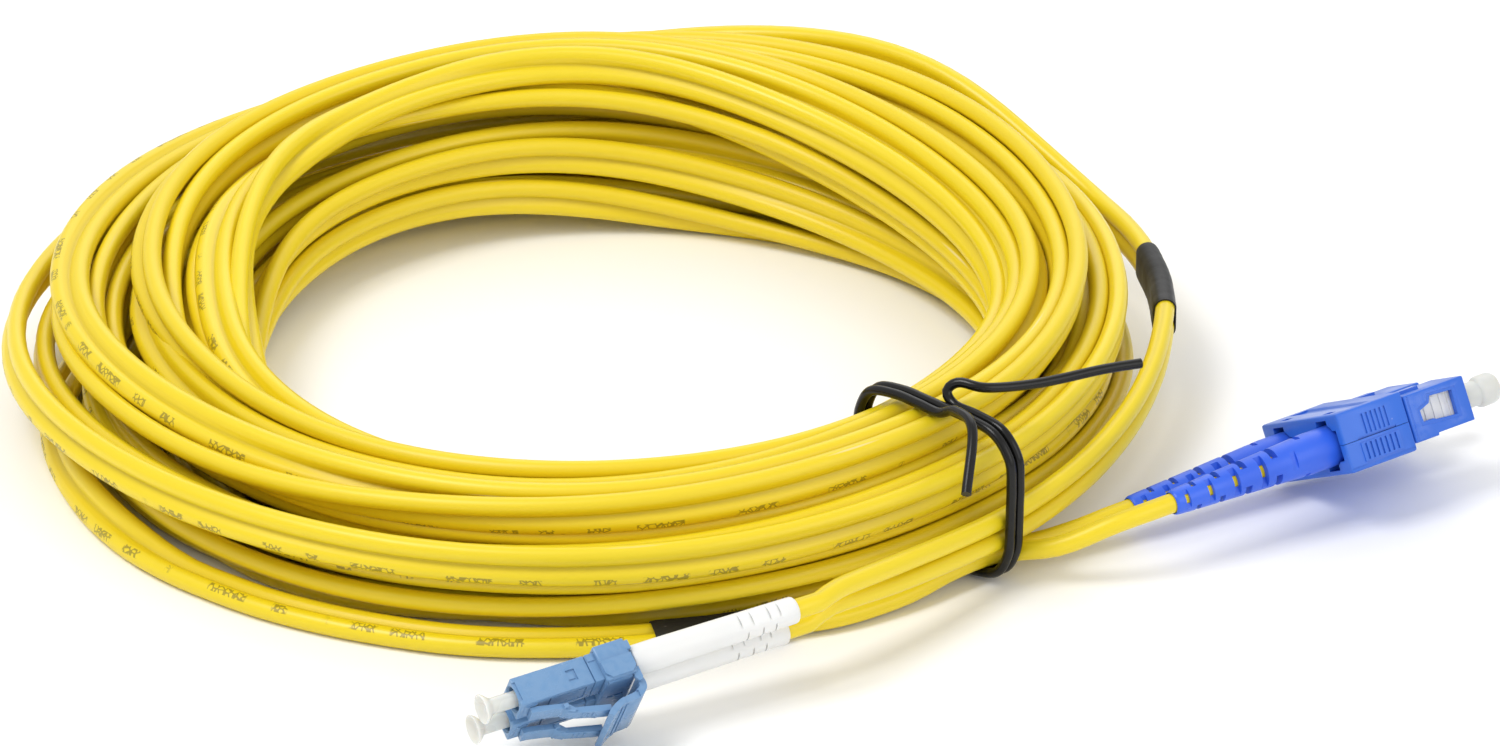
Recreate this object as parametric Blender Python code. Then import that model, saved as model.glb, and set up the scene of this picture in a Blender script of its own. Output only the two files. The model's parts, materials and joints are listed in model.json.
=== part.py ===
"""A duplex fibre optic patch cord, coiled and tied, with a duplex LC and a duplex SC connector.

Everything is in metres with +Z up. The cord lies on the plane z = 0. Each connector is modelled
in its own frame: X runs along the ferrules to the nose, Y runs from plug a to plug b, and Z is
the latch side (LC) or the key side (SC). x = 0 is the front face of the LC housings and the rear
face of the SC clip. The coil is modelled around its own centre.
"""
import math

import bpy
from mathutils import Matrix, Vector

MM = 0.001

# Where the assembly stands, and general clearances
COIL_CENTRE = (-23.58 * MM, 19.16 * MM, 0.0)
TOUCH_GAP = 0.3 * MM          # between pieces that rest on each other
FIT_GAP = 0.06 * MM           # between a ferrule and what holds it
SLIDE_GAP = 0.1 * MM          # between pieces that slide
ROUND_SIDES = 20              # sides of a turned piece
SMALL_SIDES = 12              # sides of a turned piece under 3 mm

# Cord
JACKET_D = 3.0 * MM           # one jacket of the duplex cord
DUPLEX_PITCH = 3.2 * MM       # between the two jackets' centres
BUFFER_D = 0.9 * MM           # the buffered fibre inside a jacket
SPLIT_SLEEVE_WALL = 0.3 * MM
SPLIT_SLEEVE_GAP = 0.2 * MM
TIE_WIRE_D = 1.4 * MM
TIE_TURN_PITCH = 1.75 * MM

# Coil: angle in degrees -> inner radius, outer radius, bottom, top
COIL_SECTIONS = {
    0: (61.0 * MM, 85.6 * MM, 0.0, 27.0 * MM),
    45: (57.0 * MM, 85.8 * MM, 0.0, 29.0 * MM),
    90: (54.0 * MM, 82.0 * MM, 0.0, 30.0 * MM),
    135: (53.0 * MM, 88.0 * MM, 0.0, 25.0 * MM),
    180: (50.0 * MM, 91.0 * MM, 0.0, 23.0 * MM),
    225: (54.0 * MM, 87.0 * MM, 0.0, 20.0 * MM),
    270: (56.0 * MM, 82.0 * MM, 0.0, 20.0 * MM),
    315: (57.5 * MM, 83.2 * MM, 2.4 * MM, 22.5 * MM),
}
COIL_STEPS = 56
COIL_SHOULDER = 6.0 * MM      # upper corners
COIL_FOOT = 8.0 * MM          # lower outer corner, where the tails run
TIE_ANGLE = -43.5             # degrees
TIE_CENTRE_R = 72.4 * MM
TIE_HALF = (19.2 * MM, 13.4 * MM)
TIE_LIFT = 0.2 * MM           # below the tie's lowest wire
TIE_SQUARENESS = 4.6

# LC connector
LC_PLACE = (-10.0 * MM, -114.6 * MM, 8.9 * MM)
LC_TURN = (208.4, -3.4, -124.4)     # heading, nose up, roll in degrees
LC_PITCH = 6.25 * MM
LC_SIDE = 4.52 * MM
LC_HOUSING_L = 11.6 * MM
LC_SHROUD_D = 3.5 * MM
LC_SHROUD_DEPTH = 4.0 * MM
LC_WALL_X = 1.0 * MM          # the wall that stops the flange
LC_BORE_D = 3.1 * MM
LC_FERRULE_D = 1.25 * MM
LC_FERRULE_TIP = 1.8 * MM
LC_FERRULE_L = 8.6 * MM
LC_FLANGE_D = 2.9 * MM
LC_FLANGE_L = 1.9 * MM
LC_FLANGE_TAIL = (1.6 * MM, 2.2 * MM)
LC_TRAVEL = 1.0 * MM
LC_SPRING_D = 2.2 * MM
LC_SPRING_WIRE = 0.32 * MM
LC_SPRING_TURNS = 5
LC_REAR_BODY_L = 6.7 * MM
LC_STEM_D = 2.6 * MM
LC_STEM_L = 4.4 * MM
LC_CRIMP_WALL = 0.35 * MM
LC_CRIMP_L = 3.8 * MM
LC_BOOT_D = (4.55 * MM, 4.05 * MM)
LC_BOOT_L = 26.9 * MM
LC_CLIP_L = 5.3 * MM
LC_CLIP_WALL = 0.5 * MM
LC_CAP_BARREL_D = 2.4 * MM
LC_CAP_DEPTH = 3.0 * MM
LC_CAP_DISC_D = 4.4 * MM
LC_CAP_DISC_X = (3.7 * MM, 5.0 * MM)
LC_LATCH_W = 2.6 * MM
LC_LATCH_T = 0.9 * MM
LC_LATCH_HINGE = (-1.9 * MM, 2.62 * MM)
LC_LATCH_LINE = ((-1.3, 2.62), (-2.6, 2.75), (-4.2, 3.1), (-6.3, 3.5),
                 (-7.2, 4.3), (-9.6, 5.0), (-12.7, 5.6))
LC_TRIGGER_W = 10.2 * MM
LC_TRIGGER_T = 0.9 * MM
LC_TRIGGER_HINGE = (-18.25 * MM, 3.5 * MM)
LC_TRIGGER_LINE = ((-18.25, 3.4), (-18.35, 4.6), (-17.5, 5.6),
                   (-15.6, 6.1), (-13.6, 6.6), (-11.9, 7.3))

# SC connector
SC_PLACE = (108.4 * MM, -36.2 * MM, 9.9 * MM)
SC_TURN = (32.1, 3.3, -28.5)
SC_PITCH = 12.7 * MM
SC_NOSE = (9.0 * MM, 7.4 * MM)
SC_REAR = (8.0 * MM, 6.6 * MM)
SC_FRAME = (6.4 * MM, 5.5 * MM)
SC_HOUSING_X = (3.2 * MM, 23.4 * MM)
SC_CLIP = (12.0 * MM, 22.4 * MM, 9.3 * MM)
SC_CLIP_BACK = 2.9 * MM
SC_CLIP_SEAM = -0.15 * MM
SC_FRAME_X = (3.5 * MM, 23.0 * MM)
SC_WINDOW_X = (16.7 * MM, 20.9 * MM)
SC_WINDOW_Z = (-1.6 * MM, 2.3 * MM)
SC_SLOT_X = 14.6 * MM
SC_SLOT_Z = (-1.0 * MM, 1.0 * MM)
SC_KEY = (13.5 * MM, 17.5 * MM, 1.8 * MM, 0.5 * MM)   # rear, front, width, height
SC_CAVITY_D = 4.6 * MM
SC_STOP_WALL_X = (12.0 * MM, 13.2 * MM)
SC_BORE_D = 4.7 * MM
SC_FERRULE_D = 2.5 * MM
SC_FERRULE_TIP = 24.2 * MM
SC_FERRULE_L = 13.4 * MM
SC_FLANGE_D = 4.5 * MM
SC_FLANGE_L = 2.0 * MM
SC_FLANGE_TAIL = (2.2 * MM, 2.8 * MM)
SC_TRAVEL = 1.2 * MM
SC_SPRING_D = 3.5 * MM
SC_SPRING_WIRE = 0.5 * MM
SC_SPRING_TURNS = 4
SC_STOP_D = 4.5 * MM
SC_STOP_X = (4.0 * MM, 5.2 * MM)
SC_STEM_D = 3.8 * MM
SC_STEM_END = -8.0 * MM
SC_CRIMP_WALL = 0.4 * MM
SC_CRIMP_X = (-8.5 * MM, -0.6 * MM)
SC_BOOT_D = (6.3 * MM, 3.9 * MM)
SC_BOOT_X = (-28.5 * MM, 1.0 * MM)
SC_BOOT_STRAIGHT = 5.0 * MM
SC_CAP_BARREL_D = 3.9 * MM
SC_CAP_DEPTH = 8.0 * MM
SC_CAP_DISC_D = 4.9 * MM
SC_CAP_DISC_X = (27.4 * MM, 31.0 * MM)

# Routes of the free legs around the coil's centre, in millimetres: x, y, z
LC_LEG_ROUTES = {
    "a": ((37.5, -88.6, 14.6), (46.0, -79.2, 13.4), (54.0, -69.4, 11.8), (61.8, -60.2, 10.9),
          (69.5, -51.0, 11.3), (76.6, -40.0, 12.0), (82.5, -27.5, 13.2), (86.4, -14.0, 14.3),
          (88.5, 0.5, 15.1), (88.3, 8.0, 15.1)),
    "b": ((36.2, -86.6, 10.6), (45.4, -78.3, 9.6), (53.9, -69.2, 8.5), (61.9, -60.0, 7.6),
          (69.6, -50.8, 8.0), (76.7, -39.8, 8.8), (82.5, -27.3, 10.0), (86.4, -13.8, 11.1),
          (88.5, 0.5, 11.9), (88.3, 8.0, 11.9)),
}
SC_LEG_ROUTES = {
    "a": ((78.4, -60.2, 9.9), (70.2, -60.6, 6.4), (61.3, -58.3, 4.0), (54.6, -62.6, 3.5),
          (47.5, -68.5, 2.5), (38.5, -74.0, 2.05), (29.9, -77.1, 2.05), (22.0, -80.0, 2.05)),
    "b": ((73.0, -51.5, 4.3), (66.0, -54.6, 3.7), (58.7, -55.8, 3.8), (51.9, -60.7, 3.4),
          (44.8, -66.1, 2.4), (36.7, -71.1, 2.05), (28.9, -74.1, 2.05), (21.2, -77.0, 2.05)),
}
LEG_STEP = 7.5 * MM           # between the points of a leg's curve
LC_SPLIT = ((88.5, 0.5, 13.5), (88.1, 11.0, 13.5), (86.6, 20.5, 13.5))
LC_TAIL = ((88.25, 8.4, 13.5), (86.6, 20.5, 13.5), (83.0, 32.0, 13.5), (78.4, 41.6, 13.5))
SC_SPLIT = ((29.4, -75.6, 2.05), (20.0, -79.0, 2.05), (10.3, -81.0, 2.05))
SC_TAIL = ((20.9, -78.75, 2.05), (10.3, -81.0, 2.05), (-0.6, -81.9, 1.9), (-11.6, -81.7, 1.8))

COLOURS = {
    "jacket": (0.83, 0.60, 0.03), "buffer": (0.85, 0.83, 0.76), "sleeve": (0.03, 0.03, 0.03),
    "tie": (0.01, 0.01, 0.01), "lc_blue": (0.13, 0.26, 0.45), "sc_blue": (0.03, 0.13, 0.55),
    "boot_blue": (0.04, 0.12, 0.72), "white": (0.85, 0.85, 0.83), "cap": (0.72, 0.74, 0.70),
    "ceramic": (0.90, 0.89, 0.86), "metal": (0.62, 0.62, 0.64),
}
METALLIC = {"metal": 0.9}
ROUGHNESS = {"sleeve": 0.7, "tie": 0.25, "cap": 0.3, "ceramic": 0.2, "metal": 0.3}


def clear_scene():
    for obj in list(bpy.data.objects):
        bpy.data.objects.remove(obj, do_unlink=True)


def material(slot):
    mat = bpy.data.materials.get(slot)
    if mat is None:
        mat = bpy.data.materials.new(slot)
        mat.use_nodes = True
        shader = mat.node_tree.nodes["Principled BSDF"]
        shader.inputs["Base Color"].default_value = (*COLOURS[slot], 1.0)
        shader.inputs["Roughness"].default_value = ROUGHNESS.get(slot, 0.45)
        shader.inputs["Metallic"].default_value = METALLIC.get(slot, 0.0)
    return mat


def link(name, data, slot, parent):
    obj = bpy.data.objects.new(name, data)
    bpy.context.collection.objects.link(obj)
    obj.parent = parent
    if slot:
        data.materials.append(material(slot))
    return obj


def empty(name, parent=None, at=(0, 0, 0), turn=None):
    """An empty at a place under its parent; turn is heading, nose up and roll in degrees."""
    obj = bpy.data.objects.new(name, None)
    bpy.context.collection.objects.link(obj)
    obj.parent = parent
    place = Matrix.Translation(Vector(at))
    if turn:
        heading, nose_up, roll = (math.radians(a) for a in turn)
        place = place @ Matrix.Rotation(heading, 4, "Z")
        place = place @ Matrix.Rotation(-nose_up, 4, "Y") @ Matrix.Rotation(roll, 4, "X")
    obj.matrix_local = place
    return obj


def mesh_of(name, verts, faces, smooth=False):
    mesh = bpy.data.meshes.new(name)
    mesh.from_pydata([tuple(v) for v in verts], [], faces)
    mesh.update()
    if smooth:
        mesh.shade_smooth()
        mesh.set_sharp_from_angle(angle=math.radians(35))
    return mesh


def turned_mesh(name, outline, sides):
    """A solid turned about X from (x, radius) points, run front to back on the outside.

    Args:
        outline: a closed loop of points off the axis for a tube, or an open line that starts and
            ends on the axis for a solid piece.
        sides: how many flats the round has.
    """
    solid = outline[0][1] == 0.0
    verts, rings = [], []
    for x, r in outline:
        if r == 0.0:
            rings.append([len(verts)] * sides)
            verts.append((x, 0.0, 0.0))
            continue
        rings.append([len(verts) + i for i in range(sides)])
        for i in range(sides):
            a = 2 * math.pi * (i + 0.5) / sides
            verts.append((x, r * math.cos(a), r * math.sin(a)))
    faces = []
    pairs = zip(rings, rings[1:]) if solid else zip(rings, rings[1:] + rings[:1])
    for this, following in pairs:
        for i in range(sides):
            j = (i + 1) % sides
            corner = [this[i], following[i], following[j], this[j]]
            corner = [c for n, c in enumerate(corner) if c not in corner[:n]]
            faces.append(corner)
    return mesh_of(name, verts, faces, smooth=True)


def turned(name, outline, slot, parent, sides=ROUND_SIDES):
    return link(name, turned_mesh(name, outline, sides), slot, parent)


def tube(name, x0, x1, inner_d, outer_d, slot, parent, sides=ROUND_SIDES):
    """A plain round tube from x0 (rear) to x1 (front)."""
    outline = [(x1, inner_d / 2), (x1, outer_d / 2), (x0, outer_d / 2), (x0, inner_d / 2)]
    return turned(name, outline, slot, parent, sides)


def box_mesh(name, low, high):
    (x0, y0, z0), (x1, y1, z1) = low, high
    verts = [(x, y, z) for z in (z0, z1) for y in (y0, y1) for x in (x0, x1)]
    faces = [(0, 2, 3, 1), (4, 5, 7, 6), (0, 1, 5, 4), (2, 6, 7, 3), (0, 4, 6, 2), (1, 3, 7, 5)]
    return mesh_of(name, verts, faces)


def box(name, low, high, slot, parent):
    return link(name, box_mesh(name, low, high), slot, parent)


def bar(name, x0, x1, width, height, slot, parent):
    """A square bar about the parent's X axis."""
    return box(name, (x0, -width / 2, -height / 2), (x1, width / 2, height / 2), slot, parent)


def bevelled(obj, width, segments=1):
    mod = obj.modifiers.new("edge", "BEVEL")
    mod.width = width
    mod.segments = segments
    mod.limit_method = "ANGLE"
    mod.angle_limit = math.radians(40)
    return obj


def as_cutter(obj):
    obj.hide_render = True
    obj.display_type = "WIRE"
    return obj


def combine(obj, other, operation):
    mod = obj.modifiers.new(operation.lower() + "_" + other.name, "BOOLEAN")
    mod.operation = operation
    mod.solver = "EXACT"
    mod.object = as_cutter(other)
    return obj


def cut(obj, cutter):
    return combine(obj, cutter, "DIFFERENCE")


def join(obj, piece):
    return combine(obj, piece, "UNION")


def bored(obj, x0, x1, diameter, parent, sides=ROUND_SIDES):
    """Cuts a round hole about the parent's X axis, from x0 to x1."""
    outline = [(x1, 0.0), (x1, diameter / 2), (x0, diameter / 2), (x0, 0.0)]
    drill = turned(f"drill_{obj.name}_{len(obj.modifiers)}", outline, None, parent, sides)
    return cut(obj, drill)


def strip(name, line, thickness, width, slot, parent, origin=(0.0, 0.0)):
    """A plate that follows a line in X and Z (mm points), with a width along Y, about an origin."""
    pts = [Vector((x * MM - origin[0], z * MM - origin[1])) for x, z in line]
    upper, lower = [], []
    for i, p in enumerate(pts):
        run = (pts[min(i + 1, len(pts) - 1)] - pts[max(i - 1, 0)]).normalized()
        side = Vector((-run.y, run.x)) * thickness / 2
        upper.append(p + side)
        lower.append(p - side)
    loop = upper + lower[::-1]
    verts = [(p.x, y, p.y) for y in (-width / 2, width / 2) for p in loop]
    n, m = len(loop), len(pts)
    faces = []
    for i in range(n):
        j = (i + 1) % n
        faces.append((i, j, j + n, i + n))
    for i in range(m - 1):
        quad = (i, i + 1, n - 2 - i, n - 1 - i)
        faces.append(tuple(reversed(quad)))
        faces.append(tuple(q + n for q in quad))
    area = sum(a.x * b.y - b.x * a.y for a, b in zip(loop, loop[1:] + loop[:1]))
    if area > 0:
        faces = [tuple(reversed(f)) for f in faces]
    return link(name, mesh_of(name, verts, faces), slot, parent)


def smooth_path(points, step):
    """Points about every step along the smooth curve through the given points."""
    pts = [Vector(p) for p in points]
    ends = [pts[0] * 2 - pts[1]] + pts + [pts[-1] * 2 - pts[-2]]
    fine = []
    for p0, p1, p2, p3 in zip(ends, ends[1:], ends[2:], ends[3:]):
        for n in range(16):
            t = n / 16
            fine.append(0.5 * ((2 * p1) + (p2 - p0) * t + (2 * p0 - 5 * p1 + 4 * p2 - p3) * t ** 2
                               + (3 * p1 - p0 - 3 * p2 + p3) * t ** 3))
    fine.append(pts[-1])
    lengths = [0.0]
    for a, b in zip(fine, fine[1:]):
        lengths.append(lengths[-1] + (b - a).length)
    count = max(2, round(lengths[-1] / step))
    path, k = [], 0
    for n in range(count + 1):
        want = lengths[-1] * n / count
        while k < len(fine) - 2 and lengths[k + 1] < want:
            k += 1
        share = (want - lengths[k]) / (lengths[k + 1] - lengths[k])
        path.append(fine[k].lerp(fine[k + 1], min(1.0, share)))
    return path


def wire(name, path, diameter, slot, parent, resolution=2):
    """A round tube with filled ends along a path."""
    curve = bpy.data.curves.new(name, "CURVE")
    curve.dimensions = "3D"
    curve.bevel_depth = diameter / 2
    curve.bevel_resolution = resolution
    curve.use_fill_caps = True
    spline = curve.splines.new("POLY")
    spline.points.add(len(path) - 1)
    for point, co in zip(spline.points, path):
        point.co = (*co, 1.0)
    return link(name, curve, slot, parent)


def swept(name, path, section, slot, parent, hollow=None):
    """A section (across, up) swept along a path, kept level; hollow is an inner section."""
    def rings(outline, verts):
        found = []
        for i, p in enumerate(path):
            run = (path[min(i + 1, len(path) - 1)] - path[max(i - 1, 0)]).normalized()
            across = run.cross(Vector((0, 0, 1))).normalized()
            up = across.cross(run)
            found.append([len(verts) + k for k in range(len(outline))])
            verts.extend(p + across * a + up * b for a, b in outline)
        return found

    def walls(found, faces, flip):
        for this, following in zip(found, found[1:]):
            for k in range(len(this)):
                j = (k + 1) % len(this)
                quad = (this[k], this[j], following[j], following[k])
                faces.append(tuple(reversed(quad)) if flip else quad)

    verts, faces = [], []
    outer = rings(section, verts)
    walls(outer, faces, True)
    if hollow:
        inner = rings(hollow, verts)
        walls(inner, faces, False)
        for k in range(len(section)):
            j = (k + 1) % len(section)
            faces.append((outer[0][k], outer[0][j], inner[0][j], inner[0][k]))
            faces.append((outer[-1][j], outer[-1][k], inner[-1][k], inner[-1][j]))
    else:
        faces.append(tuple(outer[0]))
        faces.append(tuple(reversed(outer[-1])))
    return link(name, mesh_of(name, verts, faces, smooth=True), slot, parent)


def stadium(width, height, corners=10):
    """Points of a shape with round short ends, (across, up), counter-clockwise."""
    r = min(width, height) / 2
    shift = Vector((max(0.0, width / 2 - r), max(0.0, height / 2 - r)))
    points = []
    for k in range(corners):
        a = 2 * math.pi * (k + 0.5) / corners
        c, s = math.cos(a), math.sin(a)
        points.append((r * c + math.copysign(shift.x, c), r * s + math.copysign(shift.y, s)))
    return points


def figure_eight(height, width, waist, half=5):
    """The duplex cord's section: two round jackets, one above the other, joined by a narrow waist."""
    r, offset = width / 2, (height - width) / 2
    points = []
    for sign in (1, -1):
        for k in range(half):
            a = math.radians(-28 + 236 * k / (half - 1))
            points.append((sign * r * math.cos(a), sign * (offset + r * math.sin(a))))
        points.append((-sign * waist / 2, 0.0))
    return points


def turned_section(section):
    return [(-b, a) for a, b in section]


def spring(name, x0, x1, coil_d, wire_d, turns, slot, parent):
    """A coil spring about the parent's X axis with its ends inside x0 to x1."""
    steps = turns * 9
    path = []
    for i in range(steps + 1):
        a = 2 * math.pi * turns * i / steps
        x = x0 + wire_d / 2 + (x1 - x0 - wire_d) * i / steps
        path.append(Vector((x, coil_d / 2 * math.cos(a), coil_d / 2 * math.sin(a))))
    return wire(name, path, wire_d, slot, parent, resolution=0)


def coil_size(angle):
    """Inner radius, outer radius, bottom and top of the coil at an angle in degrees."""
    keys = sorted(COIL_SECTIONS)
    span = 360 / len(keys)
    place = (angle % 360) / span
    k = int(place)
    t = 0.5 - 0.5 * math.cos(math.pi * (place - k))
    low, high = COIL_SECTIONS[keys[k % len(keys)]], COIL_SECTIONS[keys[(k + 1) % len(keys)]]
    return [a + (b - a) * t for a, b in zip(low, high)]


def coil(parent):
    """One ring of the coil's outer shape, with a flat foot."""
    verts, faces, rings = [], [], []
    for step in range(COIL_STEPS):
        degrees = 360 * step / COIL_STEPS
        inner, outer, bottom, top = coil_size(degrees)
        c, s = math.cos(math.radians(degrees)), math.sin(math.radians(degrees))
        high = top - COIL_SHOULDER
        outline = [(inner + COIL_SHOULDER / 2, bottom), (outer - COIL_FOOT, bottom),
                   (outer, bottom + COIL_FOOT),
                   (outer, high), (outer - COIL_SHOULDER, top), (inner + COIL_SHOULDER, top),
                   (inner, high), (inner, bottom + COIL_SHOULDER / 2)]
        rings.append([len(verts) + i for i in range(len(outline))])
        verts.extend((r * c, r * s, z) for r, z in outline)
    for this, following in zip(rings, rings[1:] + rings[:1]):
        for i in range(len(this)):
            j = (i + 1) % len(this)
            faces.append((this[i], this[j], following[j], following[i]))
    faces = [tuple(reversed(f)) for f in faces]
    link("cord_coil", mesh_of("cord_coil", verts, faces, smooth=True), "jacket", parent)


def tie(parent):
    """The twist tie: twice around the bundle, crossed on top, with two free ends."""
    a = math.radians(TIE_ANGLE)
    out, along = Vector((math.cos(a), math.sin(a), 0)), Vector((-math.sin(a), math.cos(a), 0))
    half_r, half_z = TIE_HALF
    centre = out * TIE_CENTRE_R + Vector((0, 0, TIE_LIFT + TIE_WIRE_D / 2 + half_z))

    def around(degrees, shift, grow=0.0):
        c, s = math.cos(math.radians(degrees)), math.sin(math.radians(degrees))
        size = (abs(c) ** TIE_SQUARENESS + abs(s) ** TIE_SQUARENESS) ** (-1 / TIE_SQUARENESS)
        aside = out * (c * size * (half_r + grow)) + Vector((0, 0, s * size * (half_z + grow)))
        return centre + aside + along * shift

    start, turns, per_turn = 84, 2, 22
    steps = range(turns * per_turn + 1)
    loop = [around(start - 360 * k / per_turn, -TIE_TURN_PITCH * k / per_turn) for k in steps]
    first = [around(start + 3, 24 * MM, 3.2 * MM), around(start + 4, 16 * MM, 2.8 * MM),
             around(start + 4, 8 * MM, 3.4 * MM),
             around(start + 16, 1.5 * MM, 3.4 * MM), around(start + 13, 0.6 * MM, 1.4 * MM)]
    last = [around(start - 16, -TIE_TURN_PITCH * turns - 1.2 * MM, 1.6 * MM),
            around(start - 34, -6.5 * MM, 2.2 * MM),
            around(start - 56, -9.0 * MM, 2.2 * MM)]
    wire("twist_tie", smooth_path(first + loop + last, 3.2 * MM), TIE_WIRE_D, "tie", parent)


def leg(name, connector, plug_y, rear_x, exit_x, route, parent):
    """One jacketed leg from inside a boot, straight out of it, then along its route."""
    to_coil = parent.matrix_world.inverted() @ connector.matrix_world
    straight = [to_coil @ Vector((x, plug_y, 0)) for x in (rear_x, exit_x + 8 * MM, exit_x,
                                                           exit_x - 4 * MM)]
    points = straight + [Vector(p) * MM for p in route]
    wire(name, smooth_path(points, LEG_STEP), JACKET_D, "jacket", parent)


def split_sleeve(name, line, upright, parent):
    """The shrunk sleeve where the duplex cord parts into two legs."""
    tall, thin = DUPLEX_PITCH + JACKET_D, JACKET_D
    inner = [d + 2 * SPLIT_SLEEVE_GAP for d in (thin, tall)]
    outer = [d + 2 * SPLIT_SLEEVE_WALL for d in inner]
    if not upright:
        inner, outer = inner[::-1], outer[::-1]
    path = smooth_path([Vector(p) * MM for p in line], 5 * MM)
    swept(name, path, stadium(*outer, corners=12), "sleeve", parent, stadium(*inner, corners=12))


def duplex_tail(name, line, upright, parent):
    """A stretch of the duplex cord between its split and the coil."""
    section = figure_eight(DUPLEX_PITCH + JACKET_D, JACKET_D, 0.9 * MM)
    if not upright:
        section = turned_section(section)
    path = smooth_path([Vector(p) * MM for p in line], 6 * MM)
    swept(name, path, section, "jacket", parent)


def cord(frame):
    coil(frame)
    tie(frame)
    split_sleeve("lc_split_sleeve", LC_SPLIT, True, frame)
    split_sleeve("sc_split_sleeve", SC_SPLIT, False, frame)
    duplex_tail("lc_duplex_tail", LC_TAIL, True, frame)
    duplex_tail("sc_duplex_tail", SC_TAIL, False, frame)


def ferrule_group(tag, axis, tip, ferrule_d, length, flange_x, flange_l, flange_d, tail, sides):
    """A ceramic ferrule pressed into a metal flange with a hollow tail."""
    chamfer = ferrule_d * 0.12
    rear = tip - length
    turned(f"{tag}_ferrule", [(tip, 0.0), (tip, ferrule_d / 2 - chamfer),
                              (tip - chamfer, ferrule_d / 2), (rear, ferrule_d / 2), (rear, 0.0)],
           "ceramic", axis, sides)
    seat, bore = ferrule_d + 2 * FIT_GAP, BUFFER_D + 2 * SLIDE_GAP
    tail_d, tail_l = tail
    back = flange_x - flange_l
    outline = [(flange_x, seat / 2), (flange_x, flange_d / 2), (back, flange_d / 2), (back, tail_d / 2),
               (back - tail_l, tail_d / 2),
               (back - tail_l, bore / 2), (rear - FIT_GAP, bore / 2), (rear - FIT_GAP, seat / 2)]
    turned(f"{tag}_flange", outline, "metal", axis, sides)


def dust_cap(name, axis, ferrule_d, tip, barrel_d, depth, disc_d, disc_x, sides):
    """A cap that pushes over the ferrule, with a rounded pull disc."""
    bore, mouth, end = ferrule_d / 2 + SLIDE_GAP, tip - depth - 2 * TOUCH_GAP, tip + 2 * TOUCH_GAP
    x0, x1 = disc_x
    soft = (x1 - x0) * 0.3
    outline = [(x1, 0.0), (x1, disc_d / 2 - soft), (x1 - soft, disc_d / 2), (x0 + soft / 2, disc_d / 2),
               (x0, disc_d / 2 - soft / 2),
               (x0, barrel_d / 2), (mouth, barrel_d / 2), (mouth, bore), (end, bore), (end, 0.0)]
    turned(name, outline, "cap", axis, sides)


def boot(name, axis, x0, x1, front_d, end_d, cavity_d, cavity_x, straight, slot):
    """A tapered strain relief: wide around the crimp sleeve, close around the jacket."""
    bore = JACKET_D + 2 * SLIDE_GAP
    outline = [(x1, cavity_d / 2), (x1, front_d / 2), (x1 - straight, front_d / 2),
               (x0 + TOUCH_GAP, end_d / 2), (x0, end_d / 2 - TOUCH_GAP / 2),
               (x0, bore / 2), (cavity_x, bore / 2), (cavity_x, cavity_d / 2)]
    turned(name, outline, slot, axis)


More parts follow.
